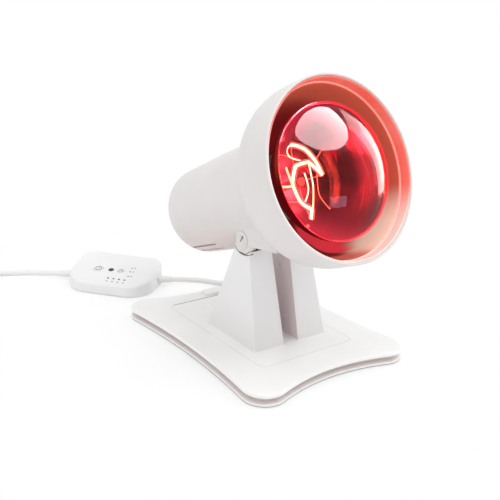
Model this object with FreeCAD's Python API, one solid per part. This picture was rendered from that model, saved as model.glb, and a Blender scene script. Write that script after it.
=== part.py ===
"""Infrared heat therapy lamp: tilting lamp head on a two-column stand, with a wired controller."""
import FreeCAD, Part
import math
import os

V = FreeCAD.Vector
X_AXIS, Y_AXIS, Z_AXIS = V(1, 0, 0), V(0, 1, 0), V(0, 0, 1)
SIDES = (-1, 1)                     # left (-X) and right (+X)
EPS = 0.01

# ---- base -------------------------------------------------------------------------------------
BASE_CORNER_X, BASE_CORNER_Y = 72.6, 99.4   # centres of the four corner arcs
BASE_CORNER_R = 21.4
BASE_END_R, BASE_SIDE_R = 198.0, 717.0      # concave arcs of the front and rear, and of the sides
BASE_TOP_Z = 12.6
FEET_H, FEET_R = 1.0, 8.0
TRAY_LIP = 2.4                      # flat edge of the lower tray
TOP_PLATE_T = 3.0
COVE = 6.0                          # depth of the groove between the two plates
WALL = 2.2
FOOTPLATE_X = 56.9
FOOTPLATE_Y = (-76.5, 88.8)
FOOTPLATE_T, FOOTPLATE_R, SEAM = 2.4, 7.0, 0.35
POCKET_FLOOR_T = 1.8
CABLE_COVER = (-6.0, 31.0, 91.5, 105.5, 3.0)   # X and Y span and height

# ---- columns: half sizes at the foot, and their change per millimetre of height ------------------
COL_OUT, COL_IN = 44.6, 9.0
COL_FRONT, COL_REAR = -48.9, 31.8
LEAN_OUT, LEAN_IN, LEAN_FRONT, LEAN_REAR = -0.0755, 0.02, 0.28, -0.35
COL_TOP_Z = 104.2
COL_ROUND = 1.6
FRAME_X, FRAME_T = 30.0, 4.4        # steel plate that stands inside each column
EYE_R = 9.5
BLADE_FOOT_Y, BLADE_NECK = (-17.0, 25.0), 7.5   # blade of that plate: span at the foot, half width at the eye

# ---- tilt pivot and head -----------------------------------------------------------------------
PIVOT = V(0, -13.1, 113.6)
REST_TILT, TILT_UP = 22.8, 17.0     # degrees; the second is the range upward from rest
PIVOT_DEPTH, PIVOT_DROP = 114.4, 41.9   # pivot behind the rim and below the head's axis
BARREL_R, BARREL_GAP = 13.2, 0.6
EAR_X, EAR_IN = 38.3, 33.6
SLOT_IN = 23.4
BOLT_R, RUNNING_FIT = 3.0, 0.05

RIM_R, SHADE_T = 82.5, 2.2
COLLAR_D = 25.0                     # straight part of the shade behind the rim
SHADE_ARC_R = 50.0
SHADE_BACK_D = 65.5
HOUSING_R0, HOUSING_R1 = 51.0, 46.2     # front and rear radius of the housing
HOUSING_END_D, HOUSING_ROUND = 241.0, 17.0
HOUSING_T = 2.4
BULB_R, BULB_EDGE_D, DOME_RISE, GLASS_T = 61.0, 8.0, 21.0, 1.4
CAP_R, NECK_END_D = 13.2, 140.0
VENT_ANGLES = (-34.5, -20.7, -6.9, 6.9, 20.7, 34.5)
VENT_D = (178.0, 226.0)

# ---- controller --------------------------------------------------------------------------------
CTRL_POS, CTRL_TURN = V(-64.7, 203.0, 0), -50.0
CTRL_L, CTRL_W = 102.0, 68.0
CTRL_FRONT_R, CTRL_REAR_R = 27.0, 15.0
CTRL_FRONT_H, CTRL_REAR_H, CTRL_SPLIT = 13.0, 29.0, 5.5
CTRL_WALL = 2.0
CTRL_FOOT_H = 0.8
FACE_SLOPE = math.degrees(math.atan2(CTRL_REAR_H - CTRL_FRONT_H, CTRL_W))
# buttons and lamps on the sloping face: (x, y along the slope) from the face's centre
POWER_AT, LEVEL_AT, TIMER_AT = (-19.0, -3.5), (-3.0, -3.0), (9.5, -3.0)
BUTTONS = {"power_button": (POWER_AT, 6.0), "level_button": (LEVEL_AT, 3.0), "timer_button": (TIMER_AT, 4.0)}
TIMER_LAMPS = [(0.5 + 6.8 * i, -20.5) for i in range(4)]
LEVEL_LAMPS = [(20.0, 5.5), (20.7, -2.5), (22.0, -12.0)]
LAMP_R = 0.9
BUTTON_GAP, BUTTON_PROUD, BUTTON_TRAVEL = 0.35, 0.3, 0.5
BOARD_TOP, BOARD_T = -8.0, 1.6      # circuit board under the face
SWITCH_H, PLUNGER_H = 3.0, 0.6

# ---- cords -------------------------------------------------------------------------------------
CORD_R = 3.1
CORD_Z = CORD_R + 0.05
LAMP_ROUTE = [V(48.2, 114.7, 5.3), V(37.3, 150.1, 3.4), V(7.4, 171.9, 4.3), V(-20.5, 173.7, 8.6)]
MAINS_ROUTE = [V(-97.5, 242.1, 8.0), V(-121.3, 270.4, 4.3), V(-152.0, 291.1, CORD_Z), V(-186.8, 303.8, CORD_Z),
               V(-223.6, 307.7, CORD_Z)]
COIL_CENTRE = V(-226.0, 281.0, 0)
COIL_R = 34.0                       # middle of the turns
COIL_TURNS_ACROSS, COIL_LAYERS = 3, 3
COIL_TIE_ANGLE = 20
TAIL_ROUTE = [V(-208.5, 311.3, 15.6), V(-222.0, 314.9, 17.6), V(-235.7, 312.0, 20.8), V(-246.6, 303.2, 23.9),
              V(-252.3, 290.4, 25.5), V(-252.3, 276.4, 25.5)]
PLUG_TURN = -90.0
RELIEF_R0, RELIEF_R1 = 4.3, 3.7     # tapered strain reliefs
BASE_RELIEF_ROOT, CTRL_RELIEF_ROOT = 9.5, 3.5
PIN_R, PIN_L, PIN_SPACING = 2.0, 19.0, 18.6

os.makedirs("parts", exist_ok=True)


def save(name, *shapes):
    """Write one node; several solids go in as one group."""
    shape = shapes[0] if len(shapes) == 1 else Part.Compound(list(shapes))
    shape.exportStep("parts/%s.step" % name)
    print("%-26s solids %d  volume %10.1f  valid %s" % (name, len(shape.Solids), shape.Volume, shape.isValid()))


# ---- small builders ----------------------------------------------------------------------------
def box(x0, x1, y0, y1, z0, z1):
    return Part.makeBox(x1 - x0, y1 - y0, z1 - z0, V(x0, y0, z0))


def cyl(r, start, axis, length):
    return Part.makeCylinder(r, length, start, axis)


def tube(r_out, r_in, start, axis, length):
    step = V(axis).normalize() * EPS
    return cyl(r_out, start, axis, length).cut(cyl(r_in, start - step, axis, length + 2 * EPS))


def prism(points, direction):
    """Extrude a closed polygon given as vectors."""
    wire = Part.makePolygon(points + points[:1])
    return Part.Face(wire).extrude(direction)


def rounded_plate(x0, x1, y0, y1, z0, z1, r):
    body = box(x0, x1, y0, y1, z0, z1)
    uprights = [e for e in body.Edges if abs(e.tangentAt(e.FirstParameter).z) > 0.99]
    return body.makeFillet(r, uprights)


def x_cyl(r, x0, x1):
    """Cylinder round the tilt axis between two X positions."""
    return cyl(r, V(x0, PIVOT.y, PIVOT.z), X_AXIS, x1 - x0)


def side_span(side, inner, outer):
    """Low and high X of a slab between two distances from the middle plane."""
    return (inner, outer) if side > 0 else (-outer, -inner)


def screw(start, axis, length, r=1.5, head_r=2.8, head_t=1.6):
    """Pan-head screw: start is under the head, axis points along the shank."""
    axis = V(axis).normalize()
    head = cyl(head_r, start - axis * head_t, axis, head_t)
    drive = cyl(head_r * 0.45, start - axis * (head_t + EPS), axis, head_t * 0.6)
    return head.cut(drive).fuse(cyl(r, start, axis, length))


def largest(shape):
    return max(shape.Solids, key=lambda s: s.Volume)


# ---- base --------------------------------------------------------------------------------------
def base_outline(inset, z):
    """Closed outline with rounded corners and concave sides, moved inward by inset."""
    r = BASE_CORNER_R - inset
    end_r, side_r = BASE_END_R + inset, BASE_SIDE_R + inset
    end_y = BASE_CORNER_Y + math.sqrt((end_r + r) ** 2 - BASE_CORNER_X ** 2)
    side_x = BASE_CORNER_X + math.sqrt((side_r + r) ** 2 - BASE_CORNER_Y ** 2)
    to_end = V(-BASE_CORNER_X, end_y - BASE_CORNER_Y, 0).normalize() * r
    to_side = V(side_x - BASE_CORNER_X, -BASE_CORNER_Y, 0).normalize() * r
    edges = []
    for sx, sy in ((1, 1), (-1, 1), (-1, -1), (1, -1)):
        corner = V(sx * BASE_CORNER_X, sy * BASE_CORNER_Y, z)
        at_end = corner + V(sx * to_end.x, sy * to_end.y, 0)
        at_side = corner + V(sx * to_side.x, sy * to_side.y, 0)
        middle = corner + V(sx * (to_end.x + to_side.x), sy * (to_end.y + to_side.y), 0).normalize() * r
        edges.append(Part.Arc(at_side, middle, at_end).toShape())
        if sx > 0:
            other = V(-at_end.x, at_end.y, z)
            crown = V(0, sy * (end_y - end_r), z)
            edges.append(Part.Arc(at_end, crown, other).toShape())
        if sy > 0:
            other = V(at_side.x, -at_side.y, z)
            crown = V(sx * (side_x - side_r), 0, z)
            edges.append(Part.Arc(at_side, crown, other).toShape())
    return Part.Wire(Part.__sortEdges__(edges))


def base_slab(inset, z0, z1):
    return Part.Face(base_outline(inset, z0)).extrude(V(0, 0, z1 - z0))


BOSS_AT = [(sx * 66.0, sy * 96.0) for sx in SIDES for sy in SIDES]
FEET_AT = [(sx * 76.0, sy * 103.0) for sx in SIDES for sy in SIDES]
GROOVE_Z = (FEET_H + TRAY_LIP + 1.8, BASE_TOP_Z - TOP_PLATE_T)


def relief_hole(start, nxt, depth):
    """Way through a wall for a strain relief."""
    direction = (nxt - start).normalize()
    return cyl(RELIEF_R0 + 0.05, start + direction * 5, direction * -1, depth + 6)


def base_relief_hole():
    return relief_hole(LAMP_ROUTE[0], LAMP_ROUTE[1], BASE_RELIEF_ROOT)


def base_top_plate():
    under = GROOVE_Z[1]
    plate = base_slab(0, under, BASE_TOP_Z)
    rim_edges = [e for e in plate.Edges if abs(e.BoundBox.ZMin - BASE_TOP_Z) < EPS and
                 abs(e.BoundBox.ZMax - BASE_TOP_Z) < EPS]
    plate = plate.makeFillet(0.9, rim_edges)
    skirt = base_slab(COVE, GROOVE_Z[0], under).cut(base_slab(COVE + WALL, GROOVE_Z[0] - EPS, under + EPS))
    pocket_z = BASE_TOP_Z - FOOTPLATE_T
    fx, (fy0, fy1) = FOOTPLATE_X + SEAM, FOOTPLATE_Y
    floor = rounded_plate(-fx - WALL, fx + WALL, fy0 - SEAM - WALL, fy1 + SEAM + WALL,
                          pocket_z - POCKET_FLOOR_T, under, FOOTPLATE_R + WALL)
    pocket = rounded_plate(-fx, fx, fy0 - SEAM, fy1 + SEAM, pocket_z, BASE_TOP_Z + 1, FOOTPLATE_R + SEAM)
    body = plate.fuse([skirt, floor]).cut(pocket)
    floor_z = FEET_H + TRAY_LIP
    for x, y in BOSS_AT:
        body = body.fuse(cyl(4.0, V(x, y, floor_z), Z_AXIS, under - floor_z))
    for x, y in BOSS_AT:
        body = body.cut(cyl(1.5, V(x, y, floor_z - EPS), Z_AXIS, 6.0))
    return body.cut(base_relief_hole())


def base_bottom_tray():
    lip_top = FEET_H + TRAY_LIP
    tray = base_slab(0.2, FEET_H, lip_top)
    slope = Part.makeLoft([base_outline(0.2, lip_top), base_outline(COVE, GROOVE_Z[0])], True, True)
    slope = slope.cut(base_slab(COVE + WALL, lip_top - EPS, GROOVE_Z[0] + EPS))
    body = tray.fuse(slope)
    for x, y in BOSS_AT:
        body = body.cut(cyl(1.6, V(x, y, 0), Z_AXIS, 5)).cut(cyl(3.0, V(x, y, 0), Z_AXIS, FEET_H + 1.7))
    return body.cut(base_relief_hole())


def base_details():
    save("rubber_feet", *[cyl(FEET_R, V(x, y, 0), Z_AXIS, FEET_H) for x, y in FEET_AT])
    save("base_screws", *[screw(V(x, y, FEET_H + 1.7), Z_AXIS, 5.6) for x, y in BOSS_AT])
    ballast_z = FEET_H + TRAY_LIP
    plate = rounded_plate(-52, 52, -70, 76, ballast_z, ballast_z + 3.6, 6)
    save("base_ballast", plate)
    x0, x1, y0, y1, height = CABLE_COVER
    cover = rounded_plate(x0, x1, y0, y1, BASE_TOP_Z, BASE_TOP_Z + height, 3.5)
    top = [e for e in cover.Edges if e.BoundBox.ZMin > BASE_TOP_Z + height - 0.1]
    save("rear_cable_cover", cover.makeFillet(1.4, top))


def column_screw_places():
    return [(side * x, y) for side in SIDES for x, y in ((19.0, -26.0), (19.0, 8.0))]


def footplate():
    z0 = BASE_TOP_Z - FOOTPLATE_T
    plate = rounded_plate(-FOOTPLATE_X, FOOTPLATE_X, FOOTPLATE_Y[0], FOOTPLATE_Y[1], z0, BASE_TOP_Z, FOOTPLATE_R)
    for x, y in column_screw_places():
        plate = plate.cut(cyl(1.7, V(x, y, z0 - 1), Z_AXIS, 5))
    return plate


# ---- columns -----------------------------------------------------------------------------------
def column_section(side, height, wall, inner_offset):
    """Rectangle of the column at a height above the footplate, moved inward by a wall thickness."""
    out = COL_OUT + LEAN_OUT * height - wall
    inner = COL_IN + LEAN_IN * height + inner_offset
    front = COL_FRONT + LEAN_FRONT * height + wall
    rear = COL_REAR + LEAN_REAR * height - wall
    z = BASE_TOP_Z + height
    corners = [V(side * out, front, z), V(side * inner, front, z), V(side * inner, rear, z), V(side * out, rear, z)]
    return Part.makePolygon(corners + corners[:1])


def column_block(side, wall, inner_offset, z0, z1):
    ends = [column_section(side, z - BASE_TOP_Z, wall, inner_offset) for z in (z0, z1)]
    return Part.makeLoft(ends, True, True)


def head_sweep(clearance):
    """Space that the housing takes at its highest tilt."""
    angle = math.radians(REST_TILT + TILT_UP)
    forward = V(0, -math.cos(angle), math.sin(angle))
    up = V(0, math.sin(angle), math.cos(angle))
    start = PIVOT + up * PIVOT_DROP - forward * 130
    return cyl(HOUSING_R0 + clearance, start, forward, 160)


def blade(x0, x1, gap):
    """Tapered plate from the foot to the pivot eye, widened by a gap."""
    neck_z = PIVOT.z - 5.5
    outline = [(BLADE_FOOT_Y[0] - gap, BASE_TOP_Z), (BLADE_FOOT_Y[1] + gap, BASE_TOP_Z),
               (BLADE_NECK + gap, neck_z), (-BLADE_NECK - gap, neck_z)]
    return prism([V(x0, PIVOT.y + y, z) for y, z in outline], V(x1 - x0, 0, 0))


def column_shell(side):
    top = COL_TOP_Z
    outer = column_block(side, 0, WALL + 0.1, BASE_TOP_Z, top)
    rounded = [e for e in outer.Edges if len(e.Vertexes) == 2 and
               abs(e.Vertexes[0].Z - e.Vertexes[1].Z) > 50 and abs(e.CenterOfMass.x) > 25]
    outer = outer.makeFillet(COL_ROUND, rounded)
    x0, x1 = side_span(side, 0, 60)
    swing = x_cyl(BARREL_R + BARREL_GAP, x0, x1)
    outer = outer.cut([swing, head_sweep(0.8)])
    cavity = column_block(side, WALL, WALL - 2.0, BASE_TOP_Z - 1, top)
    cavity = cavity.cut([x_cyl(BARREL_R + BARREL_GAP + WALL, x0, x1), head_sweep(0.8 + WALL)])
    s0, s1 = side_span(side, FRAME_X - FRAME_T / 2 - 0.3, FRAME_X + FRAME_T / 2 + 0.3)
    slot = blade(s0, s1, 0.35)
    shell = outer.cut([cavity, slot])
    return largest(shell)


def column_cover(side):
    """Flat inner side that closes the column toward the gap."""
    slab = column_block(side, 0, 0, BASE_TOP_Z, COL_TOP_Z)
    keep = column_block(side, -5, WALL, BASE_TOP_Z - 1, COL_TOP_Z + 1)
    x0, x1 = side_span(side, 0, 60)
    cover = slab.cut([keep, x_cyl(BARREL_R + BARREL_GAP, x0, x1), head_sweep(0.8)])
    for y, z in cover_screw_places():
        sunk = COL_IN + LEAN_IN * (z - BASE_TOP_Z) + 1.4
        cover = cover.cut([cyl(1.6, V(side * 5, y, z), X_AXIS * side, 12),
                           cyl(2.8, V(side * 5, y, z), X_AXIS * side, sunk - 5)])
    return largest(cover)


def cover_screw_places():
    return ((-26.0, 30.0), (-12.0, 82.0))


def cover_screws():
    found = []
    for side in SIDES:
        for y, z in cover_screw_places():
            face = COL_IN + LEAN_IN * (z - BASE_TOP_Z) + 0.4
            found.append(screw(V(side * (face + 1.0), y, z), X_AXIS * side, 9.0, 1.5, 2.6, 0.9))
    return found


def frame_plate(side):
    """Steel plate with a foot, from the footplate up to the pivot eye."""
    x0, _ = side_span(side, FRAME_X - FRAME_T / 2, FRAME_X + FRAME_T / 2)
    eye = x_cyl(EYE_R, x0, x0 + FRAME_T)
    foot_z = BASE_TOP_Z
    f0, f1 = side_span(side, 13.5, FRAME_X)
    foot = box(f0, f1, PIVOT.y + BLADE_FOOT_Y[0], PIVOT.y + BLADE_FOOT_Y[1], foot_z, foot_z + 3)
    plate = eye.fuse([blade(x0, x0 + FRAME_T, 0), foot]).cut(x_cyl(BOLT_R, x0 - 1, x0 + FRAME_T + 1))
    for x, y in column_screw_places():
        if x * side > 0:
            plate = plate.cut(cyl(1.5, V(x, y, foot_z - 1), Z_AXIS, 6))
    return plate.removeSplitter()


def pivot_hardware():
    bolts, washers, nuts = [], [], []
    for side in SIDES:
        inward = X_AXIS * -side
        seat = EAR_X - 2.6                      # floor of the counterbore in the ear
        bolt = cyl(5.2, V(side * (EAR_X - 0.5), PIVOT.y, PIVOT.z), inward, EAR_X - 0.5 - seat - 0.1)
        bolts.append(bolt.fuse(cyl(BOLT_R, V(side * (EAR_X - 1), PIVOT.y, PIVOT.z), inward, EAR_X - 1 - 24.2)))
        w0 = FRAME_X + FRAME_T / 2
        washers.append(tube(7.5, BOLT_R + 0.02, V(side * w0, PIVOT.y, PIVOT.z), X_AXIS * side, EAR_IN - w0 - 0.15))
        nut_x = FRAME_X - FRAME_T / 2
        hexagon = [V(side * nut_x, PIVOT.y + 5.6 * math.cos(math.radians(a)), PIVOT.z + 5.6 * math.sin(math.radians(a)))
                   for a in range(0, 360, 60)]
        nut = prism(hexagon, inward * 3.6).cut(x_cyl(BOLT_R, *side_span(side, 20, 35)))
        nuts.append(nut)
    save("pivot_bolts", *bolts)
    save("friction_washers", *washers)
    save("pivot_nuts", *nuts)


# ---- lamp head, built round its own axis: X across, Y up, Z out of the rim ------------------------
def head_placement():
    angle = math.radians(REST_TILT)
    forward = V(0, -math.cos(angle), math.sin(angle))
    up = V(0, math.sin(angle), math.cos(angle))
    rim = PIVOT + forward * PIVOT_DEPTH + up * PIVOT_DROP
    return FreeCAD.Placement(rim, FreeCAD.Rotation(X_AXIS, 90 - REST_TILT))


HEAD = head_placement()


def in_head(shape):
    return shape.transformed(HEAD.toMatrix(), True)


def to_head(shape):
    """Bring a shape made in the lamp's frame into the head's own frame."""
    return shape.transformed(HEAD.inverse().toMatrix(), True)


def revolve(profile):
    """Solid of revolution from a closed list of (radius, depth behind the rim)."""
    points = [V(r, 0, -d) for r, d in profile]
    wire = Part.makePolygon(points + points[:1])
    return Part.Face(wire).revolve(V(0, 0, 0), Z_AXIS, 360)


def revolve_edges(edges):
    return Part.Face(Part.Wire(Part.__sortEdges__(edges))).revolve(V(0, 0, 0), Z_AXIS, 360)


def rd(r, d):
    return V(r, 0, -d)


def line(a, b):
    return Part.LineSegment(a, b).toShape()


def shade_point(wall, angle):
    """Point of the shade's curved flank; the angle starts at the collar's end."""
    r = SHADE_ARC_R - wall
    return rd(RIM_R - SHADE_ARC_R + r * math.cos(angle), COLLAR_D + r * math.sin(angle))


def lamp_shade():
    end = math.radians(46.0)
    inner_end = math.radians(45.0)
    outer = [shade_point(0, 0), shade_point(0, end / 2), shade_point(0, end)]
    inner = [shade_point(SHADE_T, 0), shade_point(SHADE_T, inner_end / 2), shade_point(SHADE_T, inner_end)]
    hole = 41.6
    back_out, back_in = rd(62.5, SHADE_BACK_D), rd(60.0, SHADE_BACK_D - SHADE_T)
    edges = [
        line(rd(RIM_R - 0.8, 0), rd(RIM_R, 0.8)), line(rd(RIM_R, 0.8), outer[0]), Part.Arc(*outer).toShape(),
        line(outer[2], back_out), line(back_out, rd(hole, SHADE_BACK_D)),
        line(rd(hole, SHADE_BACK_D), rd(hole, SHADE_BACK_D - SHADE_T)),
        line(rd(hole, SHADE_BACK_D - SHADE_T), back_in), line(back_in, inner[2]), Part.Arc(*inner[::-1]).toShape(),
        line(inner[0], rd(RIM_R - SHADE_T, 0.4)), line(rd(RIM_R - SHADE_T, 0.4), rd(RIM_R - 0.8, 0))]
    shade = revolve_edges(edges)
    for x, y in SHADE_SCREWS:
        shade = shade.cut(cyl(1.5, V(x, y, -SHADE_BACK_D - 1), Z_AXIS, 5))
    return shade


def ring_places(count, radius, start):
    angles = [math.radians(start + 360.0 * i / count) for i in range(count)]
    return [(radius * math.cos(a), radius * math.sin(a)) for a in angles]


SHADE_SCREWS = ring_places(4, 45.2, 45)
FRONT_RING_D = 12.0


def front_ring():
    out = RIM_R - SHADE_T - 0.05
    return revolve([(out, 1.2), (out, FRONT_RING_D), (out - 3.4, FRONT_RING_D), (out - 3.4, FRONT_RING_D - 1.2),
                    (out - 1.8, FRONT_RING_D - 1.2), (out - 1.8, 1.2)])


def reflector():
    t = 0.8
    front = FRONT_RING_D + 0.05
    outer = [(79.6, front), (79.6, front + t), (77.3, front + t), (74.5, 40.0), (67.5, 52.0), (50.5, 61.6)]
    inner = [(50.0, 60.9), (66.8, 51.4), (73.6, 39.8), (76.4, front)]
    return revolve(outer + inner)


def housing_outer():
    a = math.radians(45)
    edge_d = HOUSING_END_D - HOUSING_ROUND
    corner = HOUSING_R1 - HOUSING_ROUND
    edges = [line(rd(0, SHADE_BACK_D), rd(HOUSING_R0, SHADE_BACK_D)),
             line(rd(HOUSING_R0, SHADE_BACK_D), rd(HOUSING_R1, edge_d)),
             Part.Arc(rd(HOUSING_R1, edge_d), rd(corner + HOUSING_ROUND * math.cos(a), edge_d + HOUSING_ROUND * math.sin(a)),
                      rd(corner, HOUSING_END_D)).toShape(),
             line(rd(corner, HOUSING_END_D), rd(0, HOUSING_END_D)), line(rd(0, HOUSING_END_D), rd(0, SHADE_BACK_D))]
    return revolve_edges(edges)


def housing_inner():
    a = math.radians(45)
    edge_d = HOUSING_END_D - HOUSING_ROUND
    r = HOUSING_ROUND - HOUSING_T
    corner = HOUSING_R1 - HOUSING_ROUND
    start = SHADE_BACK_D - 1
    edges = [line(rd(0, start), rd(HOUSING_R0 - HOUSING_T, start)),
             line(rd(HOUSING_R0 - HOUSING_T, start), rd(corner + r, edge_d)),
             Part.Arc(rd(corner + r, edge_d), rd(corner + r * math.cos(a), edge_d + r * math.sin(a)),
                      rd(corner, edge_d + r)).toShape(),
             line(rd(corner, edge_d + r), rd(0, edge_d + r)), line(rd(0, edge_d + r), rd(0, start))]
    return revolve_edges(edges)


HOLDER_D = 189.0                    # back of the lamp holder, where its bracket sits
BRACKET_POSTS = ring_places(2, 33.0, 0)


def pivot_gap():
    """Two slots round the tilt axis that the frame plates stand in, in the head's own frame."""
    gaps = [x_cyl(BARREL_R + 1.4, *side_span(side, SLOT_IN, EAR_IN)) for side in SIDES]
    return [to_head(g) for g in gaps]


def rear_housing():
    body = housing_outer().cut(housing_inner())
    for x, y in SHADE_SCREWS:
        body = body.fuse(cyl(3.5, V(x, y, -SHADE_BACK_D - 12), Z_AXIS, 12))
        body = body.cut(cyl(1.3, V(x, y, -SHADE_BACK_D - 11), Z_AXIS, 12))
    end = HOUSING_END_D - 1.0
    for x, y in BRACKET_POSTS:
        body = body.fuse(cyl(4.5, V(x, y, -end), Z_AXIS, end - HOLDER_D - 2.0))
        body = body.cut(cyl(1.5, V(x, y, -HOLDER_D - 12), Z_AXIS, 12))
    middle = (VENT_D[0] + VENT_D[1]) / 2
    length = VENT_D[1] - VENT_D[0]
    for angle in VENT_ANGLES:
        vent = box(-1.5, 1.5, -60, -38, -length / 2, length / 2)
        vent = vent.makeFillet(1.45, [e for e in vent.Edges if abs(e.tangentAt(e.FirstParameter).y) > 0.99])
        vent.rotate(V(0, 0, 0), Z_AXIS, angle)
        vent.translate(V(0, 0, -middle))
        body = body.cut(vent)
    return body.cut(pivot_gap())


def pivot_saddle():
    """Bracket under the housing that carries the two ears of the tilt joint."""
    def rel(y, z):
        return V(-60, PIVOT.y + y, PIVOT.z + z)
    block = prism([rel(10.2, -4), rel(9.1, 6), rel(-4, 25), rel(-22, 46), rel(-30.5, 53.5), rel(-52.2, 2.2),
                   rel(-12.9, -2.9), rel(0, -5)], V(120, 0, 0))
    barrel = x_cyl(BARREL_R, -EAR_X, EAR_X)
    low = PIVOT.z - 12.2
    for side in SIDES:
        e0, e1 = side_span(side, EAR_IN - 3, EAR_X + 1)
        barrel = barrel.cut([box(e0, e1, PIVOT.y - 30, PIVOT.y + 30, low - 10, low),
                             box(e0, e1, PIVOT.y + 10.2, PIVOT.y + 30, low - 10, PIVOT.z + 20)])
    body = to_head(block.fuse(barrel))
    half = [(EAR_X, -75), (EAR_X, -33), (47.8, -19), (50.4, -8), (50.4, 6)]
    section = [V(x, y, -160) for x, y in half] + [V(-x, y, -160) for x, y in reversed(half)]
    body = body.common(prism(section, V(0, 0, 160 - SHADE_BACK_D)))
    body = body.cut([housing_outer()] + pivot_gap())
    body = in_head(body)
    for side in SIDES:
        out = V(side * (EAR_X + 1), PIVOT.y, PIVOT.z)
        body = body.cut([cyl(BOLT_R + RUNNING_FIT, out, X_AXIS * -side, 8), cyl(5.6, out, X_AXIS * -side, 3.6)])
    return largest(body)


def pivot_caps():
    """Ribbed caps over the pivot bolts, each with a slot."""
    caps = []
    for side in SIDES:
        start = V(side * EAR_X, PIVOT.y, PIVOT.z)
        cap = cyl(8.4, start, X_AXIS * side, 1.0)
        slot = box(-0.9, 0.9, -3.4, 3.4, 0.35, 2.0)
        slot.rotate(V(0, 0, 0), Y_AXIS, 90 * side)
        slot.rotate(V(0, 0, 0), X_AXIS, 20)
        slot.translate(V(side * (EAR_X + 0.2), PIVOT.y - 1.5, PIVOT.z + 3.0))
        caps.append(cap.cut(slot))
    return caps


def bulb_profile(inset):
    """Half outline of the bulb from the widest point back to the neck, moved inward."""
    outline = [(BULB_R, BULB_EDGE_D), (59.4, 20.0), (53.0, 34.0), (43.0, 48.0), (36.6, 58.5), (27.0, 79.0),
               (20.3, 103.0), (17.2, 125.0), (16.0, NECK_END_D)]
    return [(r - inset, d) for r, d in outline]


def spline(points):
    curve = Part.BSplineCurve()
    curve.interpolate([rd(r, d) for r, d in points])
    return curve.toShape()


def bulb_reflector():
    outer, inner = bulb_profile(0), bulb_profile(GLASS_T)
    edges = [spline(outer), line(rd(*outer[-1]), rd(*inner[-1])), spline(inner[::-1]),
             line(rd(*inner[0]), rd(*outer[0]))]
    return revolve_edges(edges)


def bulb_face():
    """Domed red front glass."""
    sphere_r = (BULB_R ** 2 + DOME_RISE ** 2) / (2 * DOME_RISE)
    top_d = BULB_EDGE_D - DOME_RISE
    centre_d = top_d + sphere_r
    half = math.asin(BULB_R / sphere_r) / 2

    def on_sphere(r, angle):
        return rd(r * math.sin(angle), centre_d - r * math.cos(angle))
    inner_r = sphere_r - GLASS_T
    inner_end = math.acos((centre_d - BULB_EDGE_D) / inner_r)
    edges = [Part.Arc(on_sphere(sphere_r, 0), on_sphere(sphere_r, half), on_sphere(sphere_r, 2 * half)).toShape(),
             line(on_sphere(sphere_r, 2 * half), on_sphere(inner_r, inner_end)),
             Part.Arc(on_sphere(inner_r, inner_end), on_sphere(inner_r, inner_end / 2), on_sphere(inner_r, 0)).toShape(),
             line(on_sphere(inner_r, 0), on_sphere(sphere_r, 0))]
    return revolve_edges(edges)


FILAMENT_D, FILAMENT_WIRE_R, SUPPORT_R = 48.0, 0.9, 0.45
# the filament's bends, across and up from the bulb's axis, and the bends that a support holds
FILAMENT_BENDS = [(-12.7, 32.2), (1.6, 27.3), (11.3, 16.0), (16.4, 2.6), (3.1, 15.5), (-12.5, 13.1), (-19.4, -2.6),
                  (-14.5, -18.7), (-3.0, -26.6), (-6.3, -35.3)]
HELD_BENDS = (0, 3, 5, 7, 9)


def filament(radius):
    """Coiled wire as one thin rod through all the bends."""
    bends = [V(x, y, -FILAMENT_D) for x, y in FILAMENT_BENDS]
    rods = [cyl(radius, a, b - a, (b - a).Length) for a, b in zip(bends, bends[1:])]
    knees = [Part.makeSphere(radius, b) for b in bends]
    return rods[0].fuse(rods[1:] + knees)


def bulb_inside():
    stem = revolve([(0, 59), (4.0, 59), (4.0, 105), (9.0, 133), (9.0, NECK_END_D), (0, NECK_END_D)])
    save("bulb_stem", in_head(stem))
    held = filament(FILAMENT_WIRE_R + 0.02)
    wires = []
    for i in HELD_BENDS:
        x, y = FILAMENT_BENDS[i]
        tip, root = V(x, y, -FILAMENT_D), V(x * 0.08, y * 0.08, -63)
        wires.append(cyl(SUPPORT_R, root, tip - root, (tip - root).Length).cut([stem, held]))
    save("filament_supports", *[in_head(w) for w in wires])
    save("bulb_filament", in_head(filament(FILAMENT_WIRE_R)))


def bulb_cap():
    """Screw cap with rolled thread ridges."""
    profile = [(0, NECK_END_D + 0.2), (CAP_R + 0.1, NECK_END_D + 0.2), (CAP_R + 0.1, 142.5)]
    for i in range(6):
        d = 144.0 + 3.2 * i
        profile += [(CAP_R - 0.9, d), (CAP_R, d + 1.6)]
    profile += [(CAP_R - 0.9, 163.2), (8.0, 166.0), (0, 166.0)]
    return revolve(profile)


def lamp_holder():
    body = revolve([(14.4, 143.5), (19.5, 143.5), (20.5, 147), (20.5, 183), (17, HOLDER_D), (0, HOLDER_D),
                    (0, 173.5), (14.4, 173.5)])
    save("lamp_holder_body", in_head(body))
    shell = revolve([(13.4, 145), (14.3, 145), (14.3, 171), (13.4, 171)])
    save("holder_screw_shell", in_head(shell))
    spring = revolve([(0, 168.2), (5, 168.2), (5, 169.0), (3, 173.5), (0, 173.5)])
    save("holder_centre_contact", in_head(spring))
    contact = revolve([(0, 166.0), (5.2, 166.0), (4.6, 168.2), (0, 168.2)])
    save("bulb_contact", in_head(contact))
    strap = rounded_plate(-39, 39, -10, 10, -HOLDER_D - 2, -HOLDER_D, 6).fuse(cyl(20, V(0, 0, -HOLDER_D - 2), Z_AXIS, 2))
    for x, y in BRACKET_POSTS:
        strap = strap.cut(cyl(1.7, V(x, y, -HOLDER_D - 4), Z_AXIS, 6))
    save("holder_bracket", in_head(strap))
    save("holder_screws", *[in_head(screw(V(x, y, -HOLDER_D), Z_AXIS * -1, 10.0)) for x, y in BRACKET_POSTS])


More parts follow.
